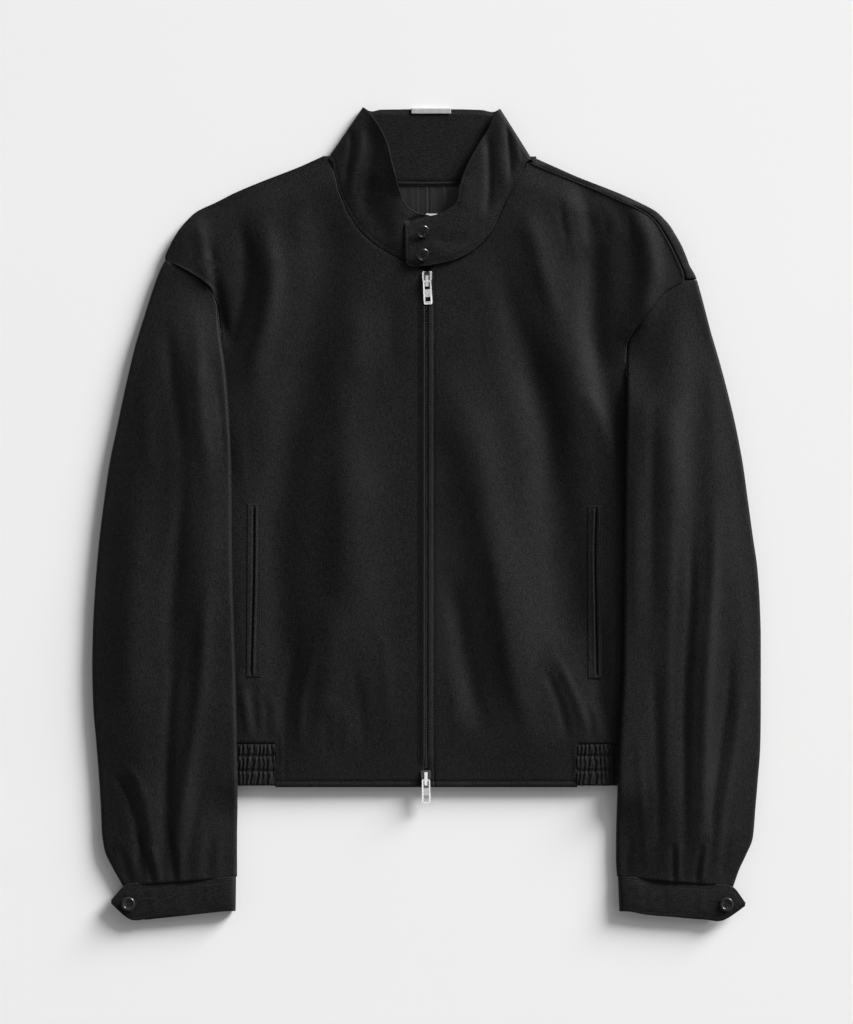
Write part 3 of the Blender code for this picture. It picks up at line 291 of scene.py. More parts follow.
class Wire:
    # a shader value that can be used in an expression
    def __init__(self, finish, socket):
        self.finish = finish
        self.socket = socket

    def __add__(self, other):
        return self.finish.maths("ADD", self, other)

    def __radd__(self, other):
        return self.finish.maths("ADD", other, self)

    def __sub__(self, other):
        return self.finish.maths("SUBTRACT", self, other)

    def __rsub__(self, other):
        return self.finish.maths("SUBTRACT", other, self)

    def __mul__(self, other):
        return self.finish.maths("MULTIPLY", self, other)

    def __rmul__(self, other):
        return self.finish.maths("MULTIPLY", other, self)


class Finish:
    # one material and the nodes that make it
    def __init__(self, name, **fixed):
        self.material = bpy.data.materials.new(name)
        self.material.use_nodes = True
        self.tree = self.material.node_tree
        self.surface = self.tree.nodes["Principled BSDF"]
        for socket, value in fixed.items():
            self.surface.inputs[socket.replace("_", " ")].default_value = value

    def add(self, kind, settings=None, inputs=None, output=0):
        made = self.tree.nodes.new(kind)
        for setting, value in (settings or {}).items():
            setattr(made, setting, value)
        for socket, value in (inputs or {}).items():
            self.feed(made.inputs[socket], value)
        return Wire(self, made.outputs[output])

    def feed(self, socket, value):
        if isinstance(value, Wire):
            self.tree.links.new(value.socket, socket)
        else:
            socket.default_value = value

    def maths(self, operation, *values):
        return self.add("ShaderNodeMath", {"operation": operation}, dict(enumerate(values)))

    def clipped(self, value):
        return self.maths("MINIMUM", self.maths("MAXIMUM", value, 0.0), 1.0)

    def risen(self, value, low, high):
        # 0 up to low and 1 from high on, with a soft way between
        values = {"Value": value, "From Min": low, "From Max": high, "To Min": 0.0, "To Max": 1.0}
        return self.add("ShaderNodeMapRange", {"interpolation_type": "SMOOTHSTEP"}, values)

    def place(self):
        return self.add("ShaderNodeTexCoord", output="Object")

    def noise(self, scale, detail=2.0, roughness=0.5, vector=None):
        values = {"Scale": scale, "Detail": detail, "Roughness": roughness}
        values["Vector"] = vector or self.place()
        return self.add("ShaderNodeTexNoise", {"noise_dimensions": "3D"}, values)

    def stretched(self, scale, turn=(0.0, 0.0, 0.0)):
        values = {"Vector": self.place(), "Scale": scale, "Rotation": turn}
        return self.add("ShaderNodeMapping", {"vector_type": "POINT"}, values)

    def shades(self, mask, first, second):
        values = {"Factor": mask, 6: (*first, 1.0), 7: (*second, 1.0)}
        return self.add("ShaderNodeMix", {"data_type": "RGBA"}, values, output=2)

    def bump(self, height, distance, strength):
        values = {"Height": height, "Distance": distance, "Strength": strength}
        return self.add("ShaderNodeBump", None, values)

    def give(self, **wires):
        for socket, value in wires.items():
            self.feed(self.surface.inputs[socket.replace("_", " ")], value)
        return self.material


twill = {
    "ribs": 1.15,  # millimetres from one slanting rib to the next
    "slant": math.radians(63.0),
    "dark": (0.0020, 0.0020, 0.0021),
    "light": (0.0218, 0.0219, 0.0228),
    "ribHeight": 0.0004,
    "sheen": 0.008,
    "roughness": 0.55,
    "slubs": (900.0, 150.0, 0.8),
}


# how strongly each pattern of a cloth tells in its colour and in its height
clothMix = {
    "middle": 0.42,
    "wander": 2.2,
    "ribShade": 0.10,
    "grainShade": 1.5,
    "cloudShade": 0.35,
    "ribRise": 0.22,
    "grainRise": 0.9,
    "slubRise": 0.4,
    "grainRoughness": 0.18,
}


def clothFinish(name, dark, light, ribs, slant, sheen, roughness, ribHeight, slubs):
    mix = clothMix
    finish = Finish(name, Sheen_Weight=sheen, Sheen_Roughness=0.42, Specular_IOR_Level=0.1)
    finish.surface.inputs["Sheen Tint"].default_value = (0.9, 0.93, 1.0, 1.0)
    turned = finish.stretched((1000.0 / ribs,) * 3, (0.0, 0.0, slant))
    across = finish.add("ShaderNodeSeparateXYZ", None, {"Vector": turned}, output="X")
    wander = finish.noise(90.0, 2.0)
    rib = finish.maths("SINE", (across + wander * mix["wander"]) * (2.0 * math.pi))
    grain = finish.noise(760.0, 2.0, 0.6)
    slub = finish.noise(1.0, 3.0, 0.6, finish.stretched((slubs[0], slubs[1], 900.0)))
    cloud = finish.noise(14.0, 3.0, 0.55)
    mask = mix["middle"] + mix["ribShade"] * rib + (grain - 0.5) * mix["grainShade"]
    mask = mask + (slub - 0.5) * slubs[2] + (cloud - 0.5) * mix["cloudShade"]
    height = rib * mix["ribRise"] + grain * mix["grainRise"] + slub * mix["slubRise"]
    return finish.give(
        Base_Color=finish.shades(finish.clipped(mask), dark, light),
        Roughness=roughness + (grain - 0.5) * mix["grainRoughness"],
        Normal=finish.bump(height, ribHeight, 0.7),
    )


twillFinish = clothFinish("outerTwill", **twill)

print("camera, floor and lights")
view = {"distance": 3.0, "rise": 0.002, "focusHeight": 0.006, "frameHeight": 1.024, "sensor": 36.0}
paper = {"colour": (0.86, 0.86, 0.865), "darker": 0.985, "size": 40.0}
keyLight = {
    "elevation": 18.0,
    "azimuth": 45.0,
    "spread": 24.0,
    "strength": 6.9,
    "colour": (1.0, 0.995, 0.985),
}
softbox = {"place": (2.2, 1.5, 2.1), "size": 1.8, "watts": 16.0}
overhead = {"place": (0.0, -1.1, 5.0), "wide": 0.8, "long": 3.6, "watts": 12.7}
# brighter low down all round than straight above
sky = {"From Min": 0.45, "From Max": 0.95, "To Min": 0.36, "To Max": 0.05}

scene = bpy.context.scene
scene.view_settings.view_transform = "Standard"
camera = bpy.data.objects.new("camera", bpy.data.cameras.new("camera"))
scene.collection.objects.link(camera)
camera.data.sensor_width = view["sensor"]
camera.data.lens = view["sensor"] * (view["distance"] - view["focusHeight"]) / view["frameHeight"]
camera.data.clip_start = 0.05
camera.data.clip_end = 60.0
camera.location = (0.0, view["rise"], view["distance"])
scene.camera = camera

floorFinish = Finish("floorPaper", Roughness=0.9, Specular_IOR_Level=0.1)
shade = tuple(paper["darker"] * c for c in paper["colour"])
mottle = floorFinish.noise(6.0, 2.0)
floorMaterial = floorFinish.give(Base_Color=floorFinish.shades(mottle, shade, paper["colour"]))
half = paper["size"] / 2.0
floorPoints = [(-half, -half, 0.0), (half, -half, 0.0), (half, half, 0.0), (-half, half, 0.0)]
meshObject("floor", floorPoints, [(0, 1, 2, 3)], floorMaterial)


def addLight(name, kind, place=(0.0, 0.0, 0.0), aim=None, **settings):
    # aim is the way its light goes, straight down where none is given
    lamp = bpy.data.lights.new(name, kind)
    for setting, value in settings.items():
        setattr(lamp, setting, value)
    holder = bpy.data.objects.new(name, lamp)
    holder.location = place
    if aim is not None:
        holder.rotation_euler = aim.to_track_quat("-Z", "Y").to_euler()
    scene.collection.objects.link(holder)


rise, turn = math.radians(keyLight["elevation"]), math.radians(keyLight["azimuth"])
towards = Vector((math.cos(turn) * math.cos(rise), math.sin(turn) * math.cos(rise), math.sin(rise)))
addLight(
    "key", "SUN", aim=-towards,
    energy=keyLight["strength"], angle=math.radians(keyLight["spread"]), color=keyLight["colour"],
)
addLight(
    "softbox", "AREA", softbox["place"], -Vector(softbox["place"]),
    size=softbox["size"], energy=softbox["watts"],
)
# a far panel that only polished things reflect
addLight(
    "overhead", "AREA", overhead["place"],
    shape="RECTANGLE", size=overhead["wide"], size_y=overhead["long"], energy=overhead["watts"],
)

world = bpy.data.worlds.new("studio")
scene.world = world
world.use_nodes = True
skyNodes, skyLinks = world.node_tree.nodes, world.node_tree.links
background = skyNodes["Background"]
background.inputs["Color"].default_value = (1.0, 1.0, 1.0, 1.0)
skyPlace = skyNodes.new("ShaderNodeTexCoord")
skyHeight = skyNodes.new("ShaderNodeSeparateXYZ")
skyShade = skyNodes.new("ShaderNodeMapRange")
skyLinks.new(skyPlace.outputs["Generated"], skyHeight.inputs["Vector"])
skyLinks.new(skyHeight.outputs["Z"], skyShade.inputs["Value"])
skyLinks.new(skyShade.outputs["Result"], background.inputs["Strength"])
for socket, value in sky.items():
    skyShade.inputs[socket].default_value = value

print("fronts")
# a front's rows: down, side seam or shoulder, zip edge
fronts = {
    "right": {
        "rows": [
            (156, 323.5, 329.8), (160.5, 313.7, 330.8), (168, 296.8, 332.6), (176, 276, 334.6),
            (184, 255.5, 336.6), (193, 234.3, 338.7), (202, 216.8, 342.4), (212, 196.2, 346.4),
            (221, 186.6, 351.8), (230, 179.2, 357.8), (245, 170.6, 373.7), (259, 165.2, 398.5),
            (265, 177, 413.5), (272, 190, 424.6), (281, 204, 425), (289, 212, 425.1), (297, 214.3, 425.2),
            (304.3, 217, 425.2), (322, 219.6, 425.2), (338, 221.8, 425.2), (348, 214, 425.2),
            (370, 198, 425.2), (395, 184, 425.1), (418, 178, 425.1), (750, 216.7, 424.9),
            (787, 221, 422.3),
        ],
        "elasticEdge": 275.5,
        "elasticColumn": 74,
        "seamRows": (259.0, 306.0),
        "seamRoll": -1.3,
        "lap": (0.0, 1.5),
        "placketGroove": 0.1,
    },
    "left": {
        "rows": [
            (163.6, 530.4, 527), (170, 545, 523.9), (177, 562.5, 519.9), (187, 587.6, 514.4),
            (196, 608, 509.6), (203, 623, 506.2), (210, 638, 503), (218, 651.3, 499.5),
            (226, 658.3, 495.3), (233, 662.5, 491.6), (246, 670, 480.8), (258, 676, 461.6),
            (266.4, 679.8, 432.8), (273, 682.5, 428.9), (279.6, 683.6, 428.8), (288, 670, 428.7),
            (296, 660, 428.7), (310, 650, 428.7), (323, 640, 428.7), (335, 631, 428.7), (344, 627, 428.7),
            (365, 625.8, 428.7), (375, 625.6, 428.7), (390, 640, 428.7), (410, 661, 428.7),
            (430, 675, 428.7), (750, 636.4, 428.6), (787, 632, 429.4),
        ],
        "elasticEdge": 577.0,
        "elasticColumn": 68,
        "seamRows": (158.0, 346.0),
        "seamRoll": -1.0,
        "lap": (-1.35, 0.9),
        "placketGroove": 0.6,
    },
}
frontCut = {
    "cloth": 1.2,
    "rowStep": 2.3,
    "hemFrom": 770.0,
    "hemStep": 1.0,
    "hem": 787.0,
    "elasticTop": 743.5,
    "edgeColumns": 20,
    "edgeWidth": 15.0,
    "edgeShare": 0.3,
    "cornerShares": (0.2, 0.95),
    "restColumns": 92,
    "bentRows": (600.0, 715.0),
    "placketRows": (262.0, 275.0),
    "placketStitch": 6.3,
    "stitchWidth": 1.3,
    "zipEdge": 1.7,
    "lapRows": (266.0, 276.0),
    "riseRows": (290.0, 302.0),
    "riseEnds": (766.0, 756.0),
    "riseFrom": 7.7,
    "riseWidth": 6.5,
    "hemStitch": 781.2,
    "hemGroove": 0.7,
    "hemDip": 0.9,
    "hemEdge": 1.8,
    "neckEnd": 268.0,
    "neckDip": 0.15,
    "neckWidth": 3.6,
    "seamFade": 4.0,
    "seamWidth": 3.2,
}

# a crease: rise, half width, fade at the ends, line; this one runs on into the sleeve
shoulderRidge = (5.4, 12.0, 0.3, [
    (608, 150), (632, 204), (645, 240), (650, 272), (645, 306), (638, 336), (634, 366),
])
frontCreases = {
    "right": [
        (3.2, 12.0, 0.3, [(256, 206), (264, 240), (270, 280), (268, 320), (259, 360), (250, 420)]),
        (1.2, 8.0, 0.3, [(264, 206), (271, 250), (273, 285), (266, 320), (255, 352), (243, 392)]),
        (-2.4, 6.5, 0.3, [(237, 212), (246, 250), (246, 280), (241, 308), (233, 340), (228, 366)]),
        (-4.6, 23.0, 0.3, [(320, 180), (326, 230), (325, 290), (316, 340), (306, 390), (298, 440)]),
        (-3.0, 19.0, 0.25, [
            (308, 350), (296, 400), (286, 470), (277, 520), (276, 570), (280, 640), (281, 735),
        ]),
        (3.6, 26.0, 0.25, [(352, 420), (354, 500), (356, 570), (360, 620), (360, 670), (356, 735)]),
        (2.8, 16.0, 0.3, [(338, 590), (330, 650), (328, 700), (332, 748)]),
        (1.2, 14.0, 0.3, [(340, 330), (343, 450), (341, 560), (336, 625)]),
        (-1.4, 5.5, 0.3, [(303, 618), (295, 650), (288, 684), (285, 718), (285, 750)]),
        (1.3, 5.0, 0.3, [(322, 630), (311, 664), (303, 696), (300, 726), (301, 758)]),
        (0.8, 7.0, 0.35, [(376, 610), (385, 660), (389, 715), (392, 755)]),
        (-0.8, 6.0, 0.35, [(351, 650), (358, 690), (362, 724), (365, 758)]),
        (0.6, 5.0, 0.35, [(345, 700), (346, 730), (346, 760)]),
        (-0.6, 5.0, 0.35, [(326, 706), (327, 732), (327, 760)]),
        (0.8, 4.0, 0.3, [(238, 664), (243, 690), (247, 714), (247, 741)]),
        (-0.7, 3.0, 0.3, [(249, 690), (253, 712), (253, 741)]),
        (0.8, 3.5, 0.3, [(254, 684), (259, 710), (259, 741)]),
        (-0.6, 3.0, 0.3, [(264, 694), (267, 716), (267, 741)]),
        (0.7, 3.5, 0.3, [(270, 690), (274, 714), (274, 741)]),
        (-0.5, 1.6, 0.2, [(278.4, 730), (278.8, 782)]),
        (0.4, 1.6, 0.2, [(281.4, 735), (281.2, 782)]),
        (-0.4, 1.6, 0.2, [(284.6, 728), (284.4, 782)]),
        (0.9, 4.0, 0.2, [(243, 690), (248, 715), (254, 741)]),
        (-1.2, 3.2, 0.2, [(252, 680), (256, 712), (257, 741)]),
        (0.8, 10.0, 0.4, [(306, 180), (300, 220), (302, 262)]),
        (1.8, 13.0, 0.35, [(362, 300), (358, 340), (356, 390)]),
        (-0.9, 9.0, 0.35, [(392, 288), (390, 330), (394, 380)]),
        (-0.8, 4.0, 0.35, [(222, 408), (228, 450), (232, 486)]),
        (0.5, 5.0, 0.35, [(240, 420), (243, 460), (243, 500)]),
        (2.0, 7.0, 0.3, [(193, 208), (200, 232), (205, 256), (208, 280), (210, 300)]),
        (-2.8, 5.0, 0.25, [(208, 236), (213, 262), (217, 290), (222, 318), (230, 350)]),
        (-1.5, 3.2, 0.04, [(254.2, 505), (253.9, 590), (253.2, 675)]),
    ],
    "left": [
        (1.5, 8.0, 0.3, [(524, 206), (536, 252), (550, 300), (562, 336)]),
        (1.4, 8.0, 0.3, [(584, 384), (596, 412), (606, 440), (612, 468)]),
        (1.2, 14.0, 0.3, [(524, 206), (542, 256), (558, 306)]),
        (-1.4, 11.0, 0.3, [(499, 240), (508, 300), (528, 352), (546, 410), (554, 470), (560, 520)]),
        (-5.4, 21.0, 0.2, [
            (518, 320), (534, 370), (546, 430), (549, 480), (554, 530), (560, 580), (564, 630), (574, 680),
        ]),
        (4.4, 22.0, 0.2, [
            (460, 370), (470, 430), (480, 480), (492, 530), (506, 580), (514, 630), (520, 680), (528, 730),
        ]),
        (1.6, 18.0, 0.35, [(446, 350), (450, 410), (458, 470)]),
        (3.4, 15.0, 0.25, [(620, 430), (621, 520), (621, 600), (619, 680), (614, 740)]),
        (-1.6, 7.0, 0.3, [(600, 600), (600, 650), (600, 700), (600, 742)]),
        (0.9, 8.0, 0.3, [(563, 190), (569, 225), (577, 265)]),
        (1.0, 13.0, 0.3, [(585, 190), (592, 225), (594, 265)]),
        (1.8, 9.0, 0.3, [(629, 296), (627, 340), (625, 385), (626, 430)]),
        (0.4, 1.6, 0.2, [(574.6, 744), (574.2, 784)]),
        (-0.4, 1.6, 0.2, [(571.4, 740), (571.6, 784)]),
        (-4.4, 13.0, 0.3, [
            (572, 150), (588, 206), (594, 246), (594, 290), (594, 325), (602, 374), (611, 424),
        ]),
        shoulderRidge,
        (-0.9, 4.0, 0.3, [(560, 196), (562, 220), (568, 248)]),
        (-0.5, 4.0, 0.3, [(585, 194), (588, 212), (592, 234)]),
        (0.5, 4.5, 0.3, [(574, 196), (578, 222), (590, 258)]),
        (-0.5, 3.5, 0.3, [(602, 206), (605, 224), (608, 244)]),
        (0.4, 4.0, 0.3, [(612, 204), (616, 222), (620, 244)]),
        (-0.7, 3.5, 0.3, [(627, 210), (630, 224), (629, 244)]),
        (-2.2, 9.5, 0.3, [(446, 560), (456, 610), (464, 652), (474, 700), (486, 752)]),
        (1.3, 9.0, 0.3, [(480, 500), (494, 570), (504, 634), (514, 684), (526, 724), (532, 760)]),
        (-0.9, 12.0, 0.35, [(566, 480), (573, 540), (577, 600), (586, 650)]),
        (1.3, 4.5, 0.3, [(552, 650), (567, 680), (580, 710), (587, 741)]),
        (-1.4, 4.5, 0.3, [(542, 662), (554, 690), (563, 718), (568, 746)]),
        (-0.8, 3.5, 0.3, [(601, 694), (606, 716), (608, 741)]),
        (0.6, 3.0, 0.3, [(592, 704), (597, 722), (597, 741)]),
        (-0.6, 2.6, 0.3, [(587, 706), (591, 724), (592, 741)]),
        (-0.6, 12.0, 0.4, [(478, 280), (480, 340), (480, 390)]),
        (0.6, 7.0, 0.4, [(446, 650), (454, 700), (462, 750)]),
        (-1.5, 3.2, 0.04, [(594.8, 507), (595.0, 590), (595.2, 676)]),
    ],
}


def frontShares(cut, front, downs, outer, inner):
    # columns close together beside the zip, even over the chest, one on the elastic's edge
    width = np.abs(inner - outer)
    near = np.minimum(cut["edgeWidth"], cut["edgeShare"] * width) / width
    closeUp = np.linspace(0.0, 1.0, cut["edgeColumns"] + 1)[None, :] * near[:, None]
    steps = np.linspace(0.0, 1.0, cut["restColumns"] + 1)[None, 1:]
    corner = (np.abs(front["elasticEdge"] - inner) / width - near) / (1.0 - near)
    corner = np.clip(corner, *cut["cornerShares"])[:, None]
    turnColumn = front["elasticColumn"] / cut["restColumns"]
    bent = np.where(
        steps <= turnColumn,
        steps / turnColumn * corner,
        corner + (steps - turnColumn) / (1.0 - turnColumn) * (1.0 - corner),
    )
    mix = eased(*cut["bentRows"], downs)[:, None]
    rest = near[:, None] + (1.0 - near[:, None]) * (steps * (1.0 - mix) + bent * mix)
    return np.concatenate([closeUp, rest], axis=1)


def makeFront(sideName):
    front, cut = fronts[sideName], frontCut
    node = "front_" + sideName
    table = np.array(front["rows"])
    downs = np.arange(table[0, 0], cut["hemFrom"], cut["rowStep"])
    downs = np.concatenate([downs, np.arange(cut["hemFrom"], cut["hem"] + 0.01, cut["hemStep"])])
    downs = np.unique(np.concatenate([downs[np.abs(downs - cut["elasticTop"]) > 1.2], [cut["elasticTop"]]]))
    outer = softTable(table[:, 0], table[:, 1], downs)
    inner = softTable(table[:, 0], table[:, 2], downs)
    # the edges lap towards the teeth and rise beside them
    reach, rise = front["lap"]
    inner = inner + reach * eased(*cut["lapRows"], downs)
    shares = frontShares(cut, front, downs, outer, inner)
    across = inner[:, None] + (outer - inner)[:, None] * shares
    down = np.repeat(downs[:, None], across.shape[1], axis=1)
    height = FormHeights(node).read(across, down) + creaseHeight(frontCreases[sideName], across, down)
    fromZip = np.abs(across - inner[:, None])
    placket = eased(*cut["placketRows"], down)
    height -= placket * front["placketGroove"] * groove(fromZip - cut["placketStitch"], cut["stitchWidth"])
    height -= placket * edgeRoll(fromZip, cut["zipEdge"])
    between = eased(*cut["riseRows"], down) * eased(*cut["riseEnds"], down)
    height += between * rise * np.clip((cut["riseFrom"] - fromZip) / cut["riseWidth"], 0.0, 1.0)
    # the neck edge dips where it runs in under the collar
    neckLine = [(row[2], row[0]) for row in front["rows"] if row[0] < cut["neckEnd"]]
    fromNeck, _ = nearLine(neckLine, across, down)
    height -= cut["neckDip"] * (1.0 - eased(0.0, cut["neckWidth"], fromNeck))
    fromSeam = np.abs(across - outer[:, None])
    first, last = front["seamRows"]
    seam = eased(first, first + cut["seamFade"], down) * eased(last, last - cut["seamFade"], down)
    height -= seam * front["seamRoll"] * edgeRoll(fromSeam, cut["seamWidth"])
    height -= cut["hemGroove"] * groove(down - cut["hemStitch"], cut["stitchWidth"])
    height -= cut["hemDip"] * edgeRoll(cut["hem"] - down, cut["hemEdge"])
    kept = np.ones((len(downs) - 1, across.shape[1] - 1), bool)
    atElastic = downs[:-1] >= cut["elasticTop"] - 0.1
    kept[atElastic, cut["edgeColumns"] + front["elasticColumn"]:] = False
    points = at(across, down, height)
    if sideName == "right":
        points, kept = points[:, ::-1], kept[:, ::-1]
    made = clothShell("front" + sideName.capitalize(), points, cut["cloth"], twillFinish, kept)
    dress(made, node)
    return made


frontPieces = {name: makeFront(name) for name in fronts}

print("back")
back = {
    "cloth": 1.1,
    "top": 156.0,
    "hem": 786.0,
    "floorGap": 0.1,
    "neck": [
        (156, 330.3, 528.7), (160.2, 330.6, 529), (163.6, 334.6, 524.6), (170, 343.2, 515),
        (176, 354.8, 501.6), (180, 366.5, 492.6), (182, 376.5, 478), (184.3, 397, 461),
    ],
    # the wearer's left shoulder: down, edge of the garment, forward seam
    "shoulder": [
        (158, 536.6, 531.0), (164, 549, 532.2), (170, 562.5, 546.5), (176, 576, 561), (188, 607, 590.4),
        (196, 626, 610), (203, 640.5, 624.6), (212, 657, 643.4), (218, 663.4, 652.2), (226, 670.3, 659),
        (233, 674.6, 663.3), (246, 682, 670.8), (258, 687, 676.6), (266, 690, 680.4), (273, 694.2, 683.4),
        (278.6, 696.8, 684.6),
    ],
    "turnEnd": 279.5,
    "lastTurned": 279.1,
    "neckEnd": 184.0,
    "armholeInset": 3.5,
    "armholeStart": (259.0, 268.0),
    "armholeEnd": (365.0, 340.0),
    "shoulderStep": 2.05,
    "rowStep": 4.0,
    # round the edge of the shoulder: in from the edge, share of the seam's height
    "curl": [
        (4.4, 0.0), (2.6, 0.01), (1.2, 0.05), (0.4, 0.16), (0.1, 0.36), (0.2, 0.58), (0.8, 0.78),
        (1.8, 0.88),
    ],
    "edgeInset": 6.5,
    "partColumns": 15,
    "topColumns": 12,
    "seamPast": 0.3,
    "seamDip": 0.9,
    "seamWidth": 2.2,
    "flatAtTop": 0.2,
    "risenBy": 165.0,
}


def makeBack():
    shoulder = np.array(back["shoulder"])
    downs = np.concatenate([
        np.arange(back["top"], 278.0, back["shoulderStep"]), [back["lastTurned"]],
        np.arange(283.0, 785.0, back["rowStep"]), [back["hem"]],
    ])
    right = np.array(fronts["right"]["rows"])
    left = np.array([row for row in fronts["left"]["rows"] if row[0] > 281.0])
    side = softTable(right[:, 0], right[:, 1], downs)
    armhole = eased(*back["armholeEnd"], downs)
    side += back["armholeInset"] * eased(*back["armholeStart"], downs) * armhole
    edge = softTable(shoulder[:, 0], shoulder[:, 1], downs)
    seam = softTable(shoulder[:, 0], shoulder[:, 2], downs) + back["seamPast"]
    below = softTable(left[:, 0], left[:, 1], downs) - back["armholeInset"] * armhole
    finish = np.where(downs < back["turnEnd"], edge - back["edgeInset"], below)
    neck = np.array(back["neck"])
    neckStart = np.interp(downs, neck[:, 0], neck[:, 1])
    neckEnd = np.interp(downs, neck[:, 0], neck[:, 2])
    part = np.linspace(0.0, 1.0, back["partColumns"])[None, :]
    flat = np.concatenate([
        side[:, None] + (neckStart - side)[:, None] * part[:, :-1],
        neckStart[:, None] + (neckEnd - neckStart)[:, None] * part[:, :-1],
        neckEnd[:, None] + (finish - neckEnd)[:, None] * part,
    ], axis=1)
    flatHeight = np.full(flat.shape, back["floorGap"])
    # round the edge of the shoulder and over to the seam
    seamHeight = FormHeights("front_left").read(seam, downs)
    seamHeight = (seamHeight + creaseHeight(frontCreases["left"], seam, downs))[:, None]
    curl = np.array(back["curl"])
    curlAcross = edge[:, None] - curl[None, :, 0]
    curlHeight = back["floorGap"] + seamHeight * curl[None, :, 1]
    share = np.linspace(0.0, 1.0, back["topColumns"])[None, 1:]
    topStart = edge - curl[-1, 0]
    top = topStart[:, None] + (seam - topStart)[:, None] * share
    topHeight = back["floorGap"] + seamHeight * (1.0 - (1.0 - curl[-1, 1]) * (1.0 - share) ** 2)
    topHeight -= back["seamDip"] * edgeRoll(np.abs(top - seam[:, None]), back["seamWidth"])
    # the turned edge starts flat, under the collar
    begun = eased(back["top"], back["risenBy"], downs)[:, None]
    begun = back["flatAtTop"] + (1.0 - back["flatAtTop"]) * begun
    curlHeight, topHeight = curlHeight * begun, topHeight * begun
    across = np.concatenate([flat, curlAcross, top], axis=1)
    height = np.concatenate([flatHeight, curlHeight, topHeight], axis=1)
    kept = np.ones((len(downs) - 1, across.shape[1] - 1), bool)
    neckColumns = slice(back["partColumns"] - 1, 2 * (back["partColumns"] - 1))
    kept[downs[:-1] < back["neckEnd"], neckColumns] = False
    kept[downs[1:] > back["turnEnd"], flat.shape[1] - 1:] = False
    points = at(across, np.repeat(downs[:, None], across.shape[1], axis=1), height)
    made = clothShell("backPanel", points[:, ::-1], back["cloth"], twillFinish, kept[:, ::-1])
    dress(made, "back")
    return made


backPiece = makeBack()

print("sleeves")
# a sleeve's stations: edge of the garment across and down, inner fold across and down
sleeves = {
    "right": {
        "stations": [
            (165.2, 260, 217, 305.1), (160, 270, 218.4, 319), (153.5, 287, 221, 338),
            (144.5, 315, 225, 362), (134.8, 347, 228, 391), (126, 384, 230.3, 425),
            (117.5, 424, 232, 464), (109.5, 463, 232.4, 500), (103.5, 504, 232.5, 535),
            (98.6, 545, 233, 567), (95, 588, 234, 605), (92.8, 628, 235.2, 645), (92, 666, 236.2, 682),
            (93, 706, 237, 718), (96, 742, 237.7, 752), (98.6, 775, 238, 784), (100.5, 805, 237.5, 812),
            (101.7, 833, 237, 836), (104.6, 851, 237, 852), (112.5, 868, 237, 865),
            (122.5, 885.8, 237, 876.4),
        ],
        "armhole": [
            (165.2, 259), (177, 265), (190, 272), (204, 281), (212, 289), (214.3, 297), (217, 304.3),
        ],
    },
    "left": {
        "stations": [
            (697, 280.2, 627, 344.9), (699.6, 289, 626.7, 357), (704, 305, 626.3, 374),
            (710.5, 330, 625.7, 396), (719.5, 361, 625.2, 424), (728, 393, 624.7, 455),
            (736, 427, 624.2, 487), (743, 464, 623.8, 520), (748, 500, 623.6, 550),
            (752.8, 535, 623.4, 580), (757.7, 570, 623, 612), (760, 604, 622.5, 644),
            (761, 640, 622, 676), (761, 677, 620.5, 704), (761, 712, 618.8, 735),
            (760.5, 746, 617.6, 764), (758, 780, 617, 792), (755.5, 810, 616.5, 818),
            (753, 838, 616.1, 842), (746.3, 855, 616, 857), (739.7, 869, 616.3, 867),
            (733.5, 886.6, 617, 876.1),
        ],
        "armhole": [
            (697, 279.4), (683.6, 279.6), (670, 288), (660, 296), (650, 310), (640, 323), (631, 335),
            (627, 344),
        ],
    },
}
sleeveCut = {
    "cloth": 1.1,
    "ringStep": 2.3,
    "fold": 3.5,
    "upperColumns": 52,
    "lowerColumns": 24,
    "turnColumns": 8,
    "armholeBlend": [1.0, 0.62, 0.28, 0.08, 0.0],
    "headDip": 0.3,
    "headWidth": 2.4,
}
